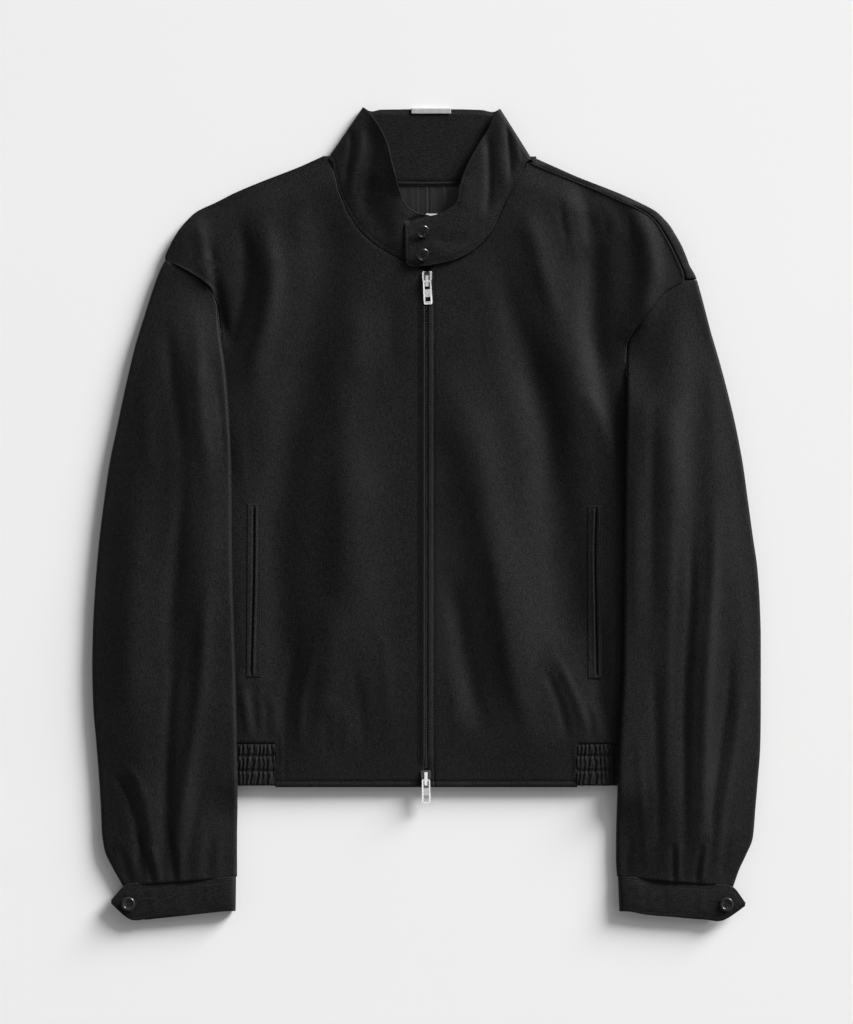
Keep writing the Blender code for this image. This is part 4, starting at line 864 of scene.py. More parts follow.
sleeveCreases = {
    "right": [
        (-1.8, 4.0, 0.2, [(144, 884), (141, 858), (137, 826), (128, 796), (113, 770)]),
        (1.2, 4.5, 0.2, [(154, 884), (152, 850), (147, 806), (137, 778), (118, 756)]),
        (-2.3, 5.5, 0.2, [(168, 884), (167, 850), (167, 800), (169, 740), (172, 690), (177, 640)]),
        (2.0, 6.5, 0.25, [
            (178, 884), (180, 830), (188, 776), (196, 726), (202, 680), (206, 620), (208, 560),
        ]),
        (-2.0, 7.5, 0.3, [(184, 440), (183, 500), (177, 560), (172, 620), (171, 690)]),
        (2.0, 13.0, 0.3, [(138, 480), (133, 560), (129, 650), (134, 740)]),
        (-0.9, 4.0, 0.3, [(188, 884), (190, 850), (196, 812), (205, 780)]),
        (0.6, 4.0, 0.3, [(198, 884), (200, 850), (206, 818)]),
        (-0.8, 3.5, 0.3, [(207, 884), (210, 852), (215, 828)]),
        (0.6, 3.5, 0.3, [(217, 882), (219, 854), (223, 832)]),
        (-1.5, 2.5, 0.2, [(153, 886), (150, 868), (142, 846), (138, 830)]),
        (1.1, 2.6, 0.2, [(160, 886), (158, 866), (151, 842)]),
        (-1.5, 2.5, 0.2, [(176, 886), (174, 868), (172, 846), (171, 820)]),
        (1.0, 2.6, 0.2, [(182, 886), (181, 866), (181, 840)]),
        (-0.8, 4.0, 0.3, [(128, 884), (125, 862), (117, 842)]),
        (0.7, 4.0, 0.3, [(136, 884), (133, 862), (127, 842)]),
        (-2.0, 7.5, 0.3, [(164, 310), (170, 350), (175, 390), (181, 430), (184, 480)]),
        (1.6, 7.5, 0.3, [(196, 300), (198, 340), (201, 400), (206, 450), (209, 500)]),
        (0.8, 8.0, 0.4, [(148, 370), (148, 430), (154, 490)]),
        (-0.6, 4.0, 0.3, [(214, 360), (221, 410), (226, 470)]),
    ],
    "left": [
        (-2.3, 5.0, 0.25, [(691, 500), (690, 600), (685, 680), (684, 790), (684, 884)]),
        (2.1, 6.0, 0.25, [
            (713, 480), (712, 560), (709, 620), (706, 680), (704, 740), (702, 800), (698, 884),
        ]),
        (1.2, 6.0, 0.3, [(671, 470), (670, 540), (668, 620), (667, 740), (670, 860)]),
        (-1.5, 4.0, 0.25, [(731, 640), (727, 700), (719, 752), (713, 800), (708, 860)]),
        (1.3, 4.5, 0.25, [(741, 676), (735, 730), (727, 782), (720, 826), (716, 876)]),
        (-1.3, 6.0, 0.35, [(655, 360), (652, 440), (651, 540), (652, 660)]),
        (1.0, 6.0, 0.35, [(636, 440), (635, 540), (636, 660)]),
        (-1.3, 4.5, 0.3, [(652, 640), (655, 720), (658, 800), (657, 880)]),
        (0.8, 4.0, 0.3, [(637, 720), (641, 790), (645, 840), (645, 882)]),
        (-0.8, 3.5, 0.3, [(627, 884), (628, 852), (632, 826)]),
        (0.6, 7.0, 0.35, [(712, 350), (712, 420), (713, 500)]),
        (1.2, 2.4, 0.2, [(679, 886), (678, 866), (678, 838)]),
        (-1.3, 2.4, 0.2, [(674, 886), (673, 866), (673, 840)]),
        (1.2, 2.4, 0.2, [(701, 886), (703, 866), (707, 842), (711, 820)]),
        (-1.3, 2.4, 0.2, [(695.6, 886), (697, 866), (701, 842)]),
        (-0.8, 4.0, 0.3, [(722, 884), (725, 852), (731, 826)]),
        shoulderRidge,
    ],
}


def makeSleeve(sideName):
    sleeve, cut = sleeves[sideName], sleeveCut
    node = "sleeve_" + sideName
    table = np.array(sleeve["stations"])
    middles = (table[:, :2] + table[:, 2:4]) / 2.0
    along = runLengths(middles)
    rings = np.linspace(0.0, along[-1], int(along[-1] / cut["ringStep"]) + 1)
    outerAcross, outerDown, innerAcross, innerDown = (
        softTable(along, table[:, i], rings)[:, None] for i in range(4)
    )
    blends = np.zeros(len(along))
    blends[:len(cut["armholeBlend"])] = cut["armholeBlend"]
    blend = softTable(along, blends, rings)[:, None]
    width = np.hypot(innerAcross - outerAcross, innerDown - outerDown)
    near = cut["fold"] / width
    seamLine = smoothLine(sleeve["armhole"], 1.0)
    seamShare = np.linspace(0.0, 1.0, len(seamLine))

    def plan(share):
        across = outerAcross + (innerAcross - outerAcross) * share
        down = outerDown + (innerDown - outerDown) * share
        seamAcross = np.interp(share, seamShare, seamLine[:, 0])
        seamDown = np.interp(share, seamShare, seamLine[:, 1])
        endsAcross = seamLine[0, 0] + (seamLine[-1, 0] - seamLine[0, 0]) * share
        endsDown = seamLine[0, 1] + (seamLine[-1, 1] - seamLine[0, 1]) * share
        return across + blend * (seamAcross - endsAcross), down + blend * (seamDown - endsDown)

    aboveForm, belowForm = FormHeights(node), FormHeights(node, above=False)
    angles = np.radians(np.linspace(-90.0, 90.0, cut["turnColumns"] + 1))[None, :]
    upperShare = near + (1.0 - 2.0 * near) * np.linspace(0.0, 1.0, cut["upperColumns"])[None, 1:-1]
    lowerShare = near + (1.0 - 2.0 * near) * np.linspace(1.0, 0.0, cut["lowerColumns"])[None, 1:-1]
    pieces = []
    for kind in ("outerTurn", "upper", "innerTurn", "lower"):
        if kind in ("outerTurn", "innerTurn"):
            endShare = near if kind == "outerTurn" else 1.0 - near
            across, down = plan(endShare)
            low = belowForm.read(across, down)
            high = np.maximum(aboveForm.read(across, down), low + 2.0)
            turn = angles if kind == "outerTurn" else angles[:, ::-1]
            reach = near * np.cos(turn) * (-1.0 if kind == "outerTurn" else 1.0)
            across, down = plan(endShare + reach)
            height = (high + low) / 2.0 + (high - low) / 2.0 * np.sin(turn)
        elif kind == "upper":
            across, down = plan(upperShare)
            ends = eased(0.0, 0.07, upperShare) * eased(1.0, 0.93, upperShare)
            creases = creaseHeight(sleeveCreases[sideName], across, down)
            height = aboveForm.read(across, down) + creases * ends
        else:
            across, down = plan(lowerShare)
            height = belowForm.read(across, down)
        pieces.append(at(across, down, height))
    points = np.concatenate(pieces, axis=1)
    head = cut["headDip"] * edgeRoll(rings, cut["headWidth"])[:, None]
    points[:, cut["turnColumns"] + 1:cut["turnColumns"] + cut["upperColumns"], 2] -= head * sheet["mm"]
    if sideName == "left":
        points = points[:, ::-1]
    made = clothShell("sleeve" + sideName.capitalize(), points, cut["cloth"], twillFinish, ring=True)
    dress(made, node)


for sideName in sleeves:
    makeSleeve(sideName)

print("collar and cuffs")
cuff = {
    "cloth": 2.0,
    "swell": 0.7,
    "step": 1.2,
    "columns": 30,
    "flat": (0.215, 0.036),
    "area": 0.0075,
    "restsOn": ["floor"],
}
# a band's rows: seam across, down, height, then its free edge across, down, height
bands = {
    "collar": {
        "node": "collar",
        "piece": "collarBand",
        "rows": [
            (426, 266.6, 11, 437, 219.6, 11.4), (414, 264.6, 11, 427.5, 215.2, 11.8),
            (403.2, 259.8, 11, 416.5, 212.6, 12.2), (388, 252.8, 10.9, 406, 205.2, 14.0),
            (374.4, 244.4, 10.4, 400.2, 193, 16.4), (358.6, 229.7, 10.0, 396.8, 180, 18.4),
            (347, 212.8, 9.6, 392.8, 165, 18.6), (338.9, 194, 9.0, 387, 142, 16.0),
            (334.2, 177, 8.2, 377, 123, 12.0), (330.2, 160.8, 6.6, 366.6, 110.2, 8.6),
            (331.2, 160.6, 1.2, 367, 109.2, 1.2), (346, 171.2, 1.2, 381, 109, 1.2),
            (370, 180.6, 1.2, 396, 108.8, 1.2), (397, 183.6, 1.2, 412, 108.6, 1.2),
            (428.5, 183.8, 1.2, 430, 108.6, 1.2), (460, 183.6, 1.2, 449, 108.6, 1.2),
            (488, 180.4, 1.2, 466, 108.8, 1.2), (512, 171, 1.2, 482, 109.4, 1.2),
            (527.2, 161.4, 1.2, 496.4, 110.4, 1.2), (528.2, 161.2, 8.6, 496.8, 111.6, 8.0),
            (521.6, 173.6, 9.6, 488, 129, 8.6), (514.6, 187, 10.4, 480, 141.6, 9.6),
            (506.4, 202, 10.4, 471, 157, 10.8), (499, 217.6, 10.8, 463.4, 173.5, 12.0),
            (491, 232.8, 11.4, 459.2, 187, 13.0), (477.8, 247.8, 12.2, 456.6, 201.4, 13.8),
            (456.8, 259.8, 13.6, 443.4, 212.6, 14.2), (432, 266, 14.3, 430.6, 217, 14.4),
            (417, 267.4, 14.4, 418.6, 220, 14.4), (409.2, 267, 14.4, 409.5, 222.6, 14.4),
            (405.8, 262, 14.4, 404.6, 225, 14.4),
        ],
        "cloth": 2.2,
        "swell": 0.8,
        "step": 1.3,
        "columns": 58,
        "flat": (0.49, 0.078),
        "area": 0.0355,
        "restsOn": ["backPanel", "frontRight", "frontLeft"],
    },
    "cuffRight": {
        "node": "cuff_right",
        "piece": "cuffRight",
        "rows": [
            (111.8, 899.9, 9.4, 112, 902.8, 9.4), (118, 892.2, 9.4, 119.6, 910.6, 9.4),
            (125.3, 884.6, 9.4, 129.2, 918.2, 9.4), (153, 882.7, 9.4, 155, 916.9, 9.4),
            (181, 880.4, 9.4, 183, 914.7, 9.4), (209, 878, 9.4, 210, 912.3, 9.4),
            (231, 876.2, 9.4, 230.6, 910.6, 9.4), (231, 876.2, 1.2, 230.6, 911.2, 1.2),
            (209, 878.2, 1.2, 210, 913.4, 1.2), (181, 880.6, 1.2, 183, 916.4, 1.2),
            (153, 883, 1.2, 155, 919.3, 1.2), (143.8, 883.9, 1.2, 144.2, 920.5, 1.2),
        ],
        **cuff,
    },
    "cuffLeft": {
        "node": "cuff_left",
        "piece": "cuffLeft",
        "rows": [
            (744.6, 902.4, 9.4, 744.4, 905.2, 9.4), (739.5, 894.5, 9.4, 736, 911.8, 9.4),
            (732.6, 886.4, 9.4, 724, 919.3, 9.4), (704, 883.6, 9.4, 700, 918, 9.4),
            (676, 881, 9.4, 673, 916.4, 9.4), (648, 878.4, 9.4, 646, 914.2, 9.4),
            (623, 876.1, 9.4, 624.5, 910.8, 9.4), (623, 876.1, 1.2, 624.5, 911.4, 1.2),
            (648, 878.6, 1.2, 646, 914.9, 1.2), (676, 881.2, 1.2, 673, 917.6, 1.2),
            (704, 883.8, 1.2, 700, 919.9, 1.2), (710.5, 884.4, 1.2, 710.5, 920.6, 1.2),
        ],
        **cuff,
    },
}
# depth, place from the edge and half width of the pressed lines
bandCut = {
    "foldStep": 4.0,
    "turns": (75.0, 55.0, 35.0, 12.0, -12.0, -35.0, -55.0, -75.0),
    "stepShare": 1.42,
    "upperHeights": (4.0, 8.0),
    "rolledFrom": (185.0, 215.0),
    "tabFrom": 440.0,
    "pressedEdge": (0.3, 0.8),
    "pressedStitch": (0.3, 2.2, 0.9),
    "innerStitch": (0.28, 4.4, 1.0),
    "thinEdge": (0.4, 6.0),
}
bandCreases = {
    "collar": [
        (2.6, 7.0, 0.15, [(370, 108), (380, 122), (390, 142), (396, 165), (400, 182), (406, 200)]),
        (-1.5, 3.6, 0.25, [(350, 126), (351, 148), (348, 164), (345, 184)]),
        (1.1, 3.8, 0.25, [(360, 120), (361, 144), (357, 164), (352, 184), (350, 204)]),
        (-2.2, 8.0, 0.25, [(370, 118), (372, 148), (370, 172), (366, 196), (366, 226)]),
        (1.2, 8.0, 0.3, [(388, 140), (394, 170), (396, 200)]),
        (-2.2, 5.0, 0.25, [(487, 126), (489, 160), (489, 192), (485, 220)]),
        (0.7, 4.6, 0.25, [(499, 114), (500, 138), (501, 162), (504, 186), (503, 204)]),
        (-1.2, 3.2, 0.25, [(505, 116), (508, 140), (510, 162), (511, 184)]),
        (0.9, 3.4, 0.25, [(511, 124), (516, 146), (520, 168)]),
        (-0.8, 6.0, 0.3, [(430, 240), (450, 242), (470, 236)]),
        (0.5, 5.0, 0.3, [(428, 254), (450, 254), (474, 242)]),
        (0.6, 9.0, 0.3, [(470, 176), (466, 196), (462, 214)]),
        (-1.9, 2.6, 0.2, [(404.5, 224.2), (411.0, 221.2), (419.6, 218.6), (433.5, 214.8)]),
        (1.8, 10.0, 0.5, [(401, 214), (401, 232), (401, 250), (404, 270)]),
        (-2.4, 14.0, 0.3, [(374, 170), (374, 198), (378, 222), (388, 246)]),
    ],
    "cuffRight": [
        (0.4, 4.0, 0.3, [(150, 884), (153, 900), (154, 914)]),
        (-0.4, 5.0, 0.3, [(188, 882), (190, 896), (188, 912)]),
        (0.35, 5.0, 0.3, [(206, 880), (210, 896), (209, 910)]),
    ],
    "cuffLeft": [
        (0.4, 4.0, 0.3, [(704, 885), (701, 900), (700, 916)]),
        (-0.4, 5.0, 0.3, [(664, 880), (662, 896), (664, 912)]),
        (0.35, 5.0, 0.3, [(640, 878), (638, 894), (640, 910)]),
    ],
}
bandFinish = clothFinish("bandTwill", **{**twill, "slubs": (170.0, 900.0, 1.1)})


def bandLines(rows):
    # the rows with a round turn wherever the band folds back on itself
    lines = []
    for index, row in enumerate(rows):
        lines.append(row)
        if index + 1 == len(rows) or abs(rows[index + 1][2] - row[2]) < bandCut["foldStep"]:
            continue
        following, before = rows[index + 1], rows[index - 1]
        line = np.array([row[3] - row[0], row[4] - row[1]])
        out = np.array([line[1], -line[0]]) / np.hypot(*line)
        moved = [row[3 + i] + row[i] - before[3 + i] - before[i] for i in (0, 1)]
        if np.dot(out, moved) < 0.0:
            out = -out
        for angle in np.radians(bandCut["turns"]):
            share = 0.5 - 0.5 * math.sin(angle)
            values = []
            for end in (0, 3):
                half = (row[end + 2] - following[end + 2]) / 2.0
                reach = abs(half) * math.cos(angle)
                for i in (0, 1):
                    here, there = row[end + i], following[end + i]
                    values.append(here + (there - here) * share + out[i] * reach)
                values.append(following[end + 2] + half + half * math.sin(angle))
            lines.append(tuple(values))
    return np.array(lines)


def makeBand(name):
    band, cut = bands[name], bandCut
    fine = smoothLine(bandLines(band["rows"]), band["step"] * cut["stepShare"])
    share = np.linspace(0.0, 1.0, band["columns"] + 1)[None, :, None]
    middle = fine[:, None, :3] * (1.0 - share) + fine[:, None, 3:] * share
    upper = eased(*cut["upperHeights"], middle[..., 2])
    height = middle[..., 2] + upper * np.sin(math.pi * share[..., 0]) * band["swell"]
    height += upper * creaseHeight(bandCreases[name], middle[..., 0], middle[..., 1])
    points = at(middle[..., 0], middle[..., 1], height)
    normals = gridNormals(points, False)
    above = middle[..., 2] > cut["upperHeights"][1]
    if normals[above][:, 2].mean() < 0.0:
        points, normals = points[:, ::-1], -normals[:, ::-1]
    points = points + normals * band["cloth"] / 2.0 * sheet["mm"]
    # a pressed edge all round, and the line where its topstitching pulls it in
    line = np.cumsum(np.linalg.norm(np.diff(middle[:, 0], axis=0, prepend=middle[:1, 0]), axis=1))
    wide = np.linalg.norm(middle[:, -1] - middle[:, 0], axis=1)[:, None] * share[..., 0]
    toEdge = np.minimum(wide, wide[:, -1:] - wide)
    if name == "collar":
        toEdge = np.minimum(toEdge, np.minimum(line, line[-1] - line)[:, None])
    rolled = np.maximum(eased(*cut["rolledFrom"], middle[..., 1]), middle[..., 0] > cut["tabFrom"])
    depth, width = cut["pressedEdge"]
    pressed = depth * rolled * edgeRoll(toEdge, width)
    depth, place, width = cut["pressedStitch"]
    pressed += depth * rolled * groove(toEdge - place, width)
    depth, place, width = cut["innerStitch"]
    pressed += depth * groove(toEdge - place, width)
    points = points - normals * (upper * pressed)[..., None] * sheet["mm"]
    least, width = cut["thinEdge"]
    cloth = band["cloth"] * (least + (1.0 - least) * eased(0.0, width, toEdge))
    made = clothShell(band["piece"], points, cloth, bandFinish)
    dress(made, band["node"])
    return made


bandPieces = {name: makeBand(name) for name in bands}

print("pocket welts and elastics")


class TopOf:
    # the height of finished pieces, read from straight above
    def __init__(self, *pieces):
        points, faces = [], []
        for piece in pieces:
            first = len(points)
            points.extend(v.co.to_tuple() for v in piece.data.vertices)
            faces.extend([first + i for i in face.vertices] for face in piece.data.polygons)
        self.tree = BVHTree.FromPolygons(points, faces)

    def read(self, across, down):
        across, down = np.broadcast_arrays(np.asarray(across, float), np.asarray(down, float))
        heights = np.zeros(across.size)
        for index, (x, y, _) in enumerate(at(across.ravel(), down.ravel(), 0.0)):
            hit = self.tree.ray_cast(Vector((x, y, 0.2)), Vector((0.0, 0.0, -1.0)))[0]
            heights[index] = hit.z / sheet["mm"] if hit else 0.0
        return heights.reshape(across.shape)


frontTop = TopOf(*frontPieces.values())

welts = {
    "right": {
        "line": [(254.6, 503.6), (254.2, 590.0), (253.6, 677.2)],
        "slit": [(0.0, -0.3), (0.4, -0.5), (0.7, -1.4), (1.0, -2.3)],
        "lips": (0.1, 1.0),
    },
    "left": {
        "line": [(594.6, 505.6), (594.8, 590.0), (594.6, 678.2)],
        "slit": [(0.0, 1.2), (0.3, -0.2), (0.6, 0.7), (1.0, 2.0)],
        "lips": (0.6, 0.3),
    },
}
weltCut = {
    "half": 6.9,
    "cloth": 0.4,
    "step": 1.4,
    "columns": 56,
    "rise": 0.12,
    "openRows": (1.0, 5.0),
    "lipReach": (4.6, 0.8),
    "slitDepth": 2.2,
    "slitHalf": 1.25,
    "endGroove": (0.22, 1.6, 0.7),
}
weltFinish = clothFinish("weltTwill", **{**twill, "slant": math.radians(74.0)})


def makeWelt(sideName):
    welt, cut = welts[sideName], weltCut
    line = smoothLine(welt["line"], cut["step"])
    aside = np.linspace(-cut["half"], cut["half"], cut["columns"] + 1)[None, :]
    across = line[:, :1] + aside
    down = np.repeat(line[:, 1:], across.shape[1], axis=1)
    along = np.linspace(0.0, 1.0, len(line))[:, None]
    fromEnd = np.minimum(down - line[0, 1], line[-1, 1] - down)
    opened = eased(*cut["openRows"], fromEnd)
    slit = softTable(*np.array(welt["slit"]).T, along)
    # it lies level with the cloth on either side, and its two lips part along the slit
    sides = frontTop.read(across[:, [0, -1]], down[:, [0, -1]])
    share = (aside + cut["half"]) / (2.0 * cut["half"])
    height = sides[:, :1] + (sides[:, 1:] - sides[:, :1]) * share + cut["rise"]
    fromSlit = aside - slit
    for lip, outward in zip(welt["lips"], (-fromSlit, fromSlit)):
        height += opened * lip * (outward > 0.0) * eased(*cut["lipReach"], outward)
    height -= opened * cut["slitDepth"] * groove(fromSlit, cut["slitHalf"])
    depth, place, width = cut["endGroove"]
    height -= depth * groove(fromEnd - place, width)
    points = at(across, down, height)[:, ::-1]
    made = clothShell("pocketWelt" + sideName.capitalize(), points, cut["cloth"], weltFinish)
    dress(made, "pocket_welt_" + sideName)
    return made


weltPieces = {name: makeWelt(name) for name in welts}

elastics = {
    "right": {"inner": 275.2, "outer": 217.5, "shown": 236.5, "phase": 0.0},
    "left": {"inner": 577.3, "outer": 634.5, "shown": 617.5, "phase": 1.7},
}
elasticCut = {
    "cloth": 1.0,
    "top": 744.1,
    "bottom": 785.3,
    "rowStep": 0.95,
    "columnStep": 0.62,
    "period": 5.1,
    "gather": 1.75,
    "rows": [755.6, 770.4],
    "rowWidth": 1.5,
    "rowDip": 0.5,
    "lean": 0.075,
    "leanTurns": 0.13,
    "wander": 0.9,
    "wanderTurns": 0.31,
    "rowSway": 0.35,
    "middle": 764.0,
    "below": 0.2,
    "endFade": 2.5,
    "hemDip": 0.6,
    "hemEdge": 1.4,
    "scallop": 0.9,
    "scallopRows": (779.0, 785.0),
}
elasticFinish = clothFinish(
    "elasticTwill", **{**twill, "ribs": 1.0, "slant": math.radians(90.0), "roughness": 0.6},
)


def makeElastic(sideName):
    elastic, cut = elastics[sideName], elasticCut
    side = 1.0 if sideName == "right" else -1.0
    downs = np.arange(cut["top"], cut["bottom"] + 0.01, cut["rowStep"])
    width = abs(elastic["outer"] - elastic["inner"])
    columns = np.linspace(elastic["outer"], elastic["inner"], int(width / cut["columnStep"]) + 1)
    across, down = np.meshgrid(columns, downs)
    form = FormHeights("elastic_" + sideName, radius=4)
    # gathers of uneven width that lean a little, pulled in at each row of stitching
    lean = cut["lean"] * (down - cut["middle"]) * np.sin(across * cut["leanTurns"] + elastic["phase"])
    wander = cut["wander"] * np.sin(across * cut["wanderTurns"] + elastic["phase"])
    spread = across + lean + wander + cut["rowSway"] * np.sin(down * 0.5)
    wave = np.abs(np.cos(math.pi * spread / cut["period"])) ** 0.8
    pull = sum(groove(down - row, cut["rowWidth"]) for row in cut["rows"])
    ends = eased(0.0, cut["endFade"], down - cut["top"]) * eased(0.0, cut["endFade"], cut["bottom"] - down)
    strength = 0.55 + 0.45 * np.sin(across * 0.9 + 0.17 * down) ** 2
    strength = strength * (1.0 - 0.55 * pull) * (0.4 + 0.6 * ends)
    height = form.read(across, down) - cut["below"] + cut["gather"] * wave * strength - cut["rowDip"] * pull
    height -= cut["hemDip"] * edgeRoll(cut["bottom"] - down, cut["hemEdge"])
    down = down + (wave - 0.5) * cut["scallop"] * eased(*cut["scallopRows"], down)
    points = at(across, down, height)
    if side < 0.0:
        points = points[:, ::-1]
    made = clothShell("elastic" + sideName.capitalize(), points, cut["cloth"], elasticFinish)
    dress(made, "elastic_" + sideName)
    return made


elasticPieces = {name: makeElastic(name) for name in elastics}

print("inside the neck")
neckMiddle = 428.5
neck = {
    "lining": {
        "node": "lining_back", "slot": "lining", "columns": 150, "rows": 50, "thick": 0.35,
        "edge": [(372, 187.0), (397, 185.4), (428.5, 185.6), (460, 185.4), (486, 187.0)],
        "bottom": 249.0, "height": 2.45, "narrow": 0.72, "ridges": [],
        "creases": [
            (0.15, 1.0, 0.0, [(417, 186), (417.4, 216), (417, 248)]),
            (-0.15, 0.9, 0.0, [(419.2, 186), (419.4, 216), (419, 248)]),
            (0.21, 1.3, 0.0, [(426.4, 186), (426.6, 216), (426, 248)]),
            (-0.28, 0.9, 0.0, [(428.4, 186), (428.7, 216), (428.4, 248)]),
            (0.20, 1.2, 0.0, [(430.6, 186), (430.8, 216), (430.8, 248)]),
            (0.28, 1.2, 0.0, [(443.0, 186), (444.0, 216), (444, 248)]),
            (-0.23, 1.1, 0.0, [(446.4, 186), (446.8, 216), (446, 248)]),
            (-0.12, 2.2, 0.0, [(406, 186), (407, 216), (410, 248)]),
            (0.12, 2.0, 0.0, [(411, 186), (412, 216), (413, 248)]),
            (-0.12, 2.0, 0.0, [(437, 186), (437, 216), (437, 248)]),
            (0.10, 2.0, 0.0, [(453, 186), (452, 216), (450, 248)]),
        ],
        "flat": (0.114, 0.065), "area": 0.0062,
    },
    "tape": {
        "node": "neck_tape", "slot": "tape", "columns": 70, "rows": 16, "thick": 0.35,
        "edge": [(398, 180.5), (412, 180.9), (428.5, 181.0), (446, 180.9), (459, 180.5)],
        "bottom": 185.3, "height": 3.6, "narrow": 1.0, "creases": [],
        # a rolled ridge between two rows of stitching: rise, share of the way down, half width
        "ridges": [(0.5, 0.52, 0.16), (-0.35, 0.12, 0.1), (-0.3, 0.9, 0.1)],
        "flat": (0.061, 0.01), "area": 0.00032,
    },
}

satin = Finish("liningSatin", Sheen_Weight=0.05, Sheen_Roughness=0.3, Specular_IOR_Level=0.4)
threads = satin.noise(1.0, 2.0, 0.6, satin.stretched((1500.0, 90.0, 900.0)))
weave = satin.noise(900.0, 2.0, 0.6)
liningFinish = satin.give(
    Base_Color=satin.shades(threads, (0.006, 0.006, 0.0068), (0.018, 0.018, 0.0202)),
    Roughness=0.42 + (weave - 0.5) * 0.3,
    Normal=satin.bump(threads * 0.7 + weave * 0.5, 0.00018, 0.6),
)
tapeFinish = clothFinish("tapeTwill", **{**twill, "ribs": 0.7, "slant": math.radians(90.0)})


def makeNeckPiece(name):
    piece = neck[name]
    edge = np.array(piece["edge"], float)
    columns = np.linspace(edge[0, 0], edge[-1, 0], piece["columns"] + 1)
    upper = softTable(edge[:, 0], edge[:, 1], columns)
    share = np.linspace(0.0, 1.0, piece["rows"] + 1)[:, None]
    down = upper[None, :] + (piece["bottom"] - upper)[None, :] * share
    squeeze = 1.0 + (piece["narrow"] - 1.0) * eased(0.45, 1.0, share)
    across = neckMiddle + (columns[None, :] - neckMiddle) * squeeze
    height = piece["height"] + creaseHeight(piece["creases"], across, down)
    for rise, place, width in piece["ridges"]:
        height += rise * groove(share - place, width)
    finish = liningFinish if name == "lining" else tapeFinish
    made = clothShell("neck" + name.capitalize(), at(across, down, height), piece["thick"], finish)
    dress(made, piece["node"])


for name in neck:
    makeNeckPiece(name)

labels = {
    "neckLabel": {
        "node": "neck_label", "slot": "silver_label", "left": 411.4, "right": 450.9,
        "profile": [
            (108.0, 0.4), (107.5, 0.9), (107.4, 1.9), (107.5, 2.9), (108.0, 3.5), (108.9, 3.75),
            (110.4, 3.72), (112.0, 3.68), (113.2, 3.6),
        ],
        "thick": 0.45, "dark": (0.30, 0.30, 0.315), "light": (0.52, 0.52, 0.54), "flat": (0.0395, 0.0105),
    },
    "sizeLabel": {
        "node": "size_label", "slot": "white_label", "left": 426.0, "right": 437.2,
        "profile": [(213.5, 3.75), (215.0, 3.72), (219.0, 3.66), (224.0, 3.6), (228.8, 3.5)],
        "thick": 0.4, "dark": (0.62, 0.62, 0.62), "light": (0.84, 0.84, 0.83), "flat": (0.0112, 0.0155),
    },
}


def labelFinish(name, dark, light):
    finish = Finish(name, Specular_IOR_Level=0.35, Sheen_Weight=0.15, Sheen_Roughness=0.35)
    warp = finish.noise(1.0, 1.0, 0.5, finish.stretched((2600.0, 420.0, 1200.0)))
    weft = finish.noise(1.0, 1.0, 0.5, finish.stretched((420.0, 2600.0, 1200.0)))
    return finish.give(
        Base_Color=finish.shades(warp * 0.6 + weft * 0.4, dark, light),
        Roughness=0.44 + (weft - 0.5) * 0.3,
        Normal=finish.bump(warp * 0.5 + weft * 0.5, 0.00012, 0.6),
    )


labelCut = {"step": 0.35, "columns": 48, "edgeGroove": (0.14, 1.3, 0.5), "ripple": (0.05, 0.7)}


def makeLabel(name):
    label, cut = labels[name], labelCut
    line = smoothLine(label["profile"], cut["step"])
    columns = np.linspace(label["left"], label["right"], cut["columns"])[None, :]
    down = np.repeat(line[:, :1], columns.shape[1], axis=1)
    fromEdge = np.minimum(columns - label["left"], label["right"] - columns)
    depth, place, width = cut["edgeGroove"]
    rise, turns = cut["ripple"]
    height = line[:, 1:] - depth * groove(fromEdge - place, width) + rise * np.sin(columns * turns)
    finish = labelFinish(name + "Satin", label["dark"], label["light"])
    made = clothShell(name, at(columns, down, height), label["thick"], finish)
    dress(made, label["node"])
    held = "folded" if name == "neckLabel" else "laid"


for name in labels:
    makeLabel(name)

print("zip")
zipCut = {
    "middle": [(268, 427.0), (500, 427.0), (740, 426.7), (787, 425.9)],
    "tapeReach": (2.2, 15.0),
    "tapeTop": 273.0,
    "tapeEnd": 785.0,
    "tapeCloth": 0.6,
    "tapeStep": 2.0,
    "tapeColumns": 16,
    "tapeBelow": 0.15,
    "chainTop": 290.5,
    "chainEnd": 768.6,
    "pitch": 1.3,
    "toothHalf": (1.05, 0.5, 0.95),
    "offset": 0.72,
    "below": 1.0,
    "cordReach": 2.9,
    "cordWidth": 0.8,
    "cordRise": 0.35,
}


def metalFinish(name, dark, light, roughness, fine):
    finish = Finish(name, Metallic=1.0)
    wear = finish.noise(fine, 3.0, 0.6)
    cast = finish.noise(fine * 0.2, 2.0)
    return finish.give(
        Base_Color=finish.shades(wear * 0.6 + cast * 0.4, dark, light),
        Roughness=roughness + (wear - 0.5) * 0.18,
        Normal=finish.bump(wear, 0.00003, 0.35),
    )


toothFinish = metalFinish("zipNickel", (0.05, 0.05, 0.05), (0.34, 0.34, 0.335), 0.34, 700.0)
polishedFinish = metalFinish("polishedNickel", (0.60, 0.60, 0.60), (0.78, 0.78, 0.78), 0.16, 260.0)


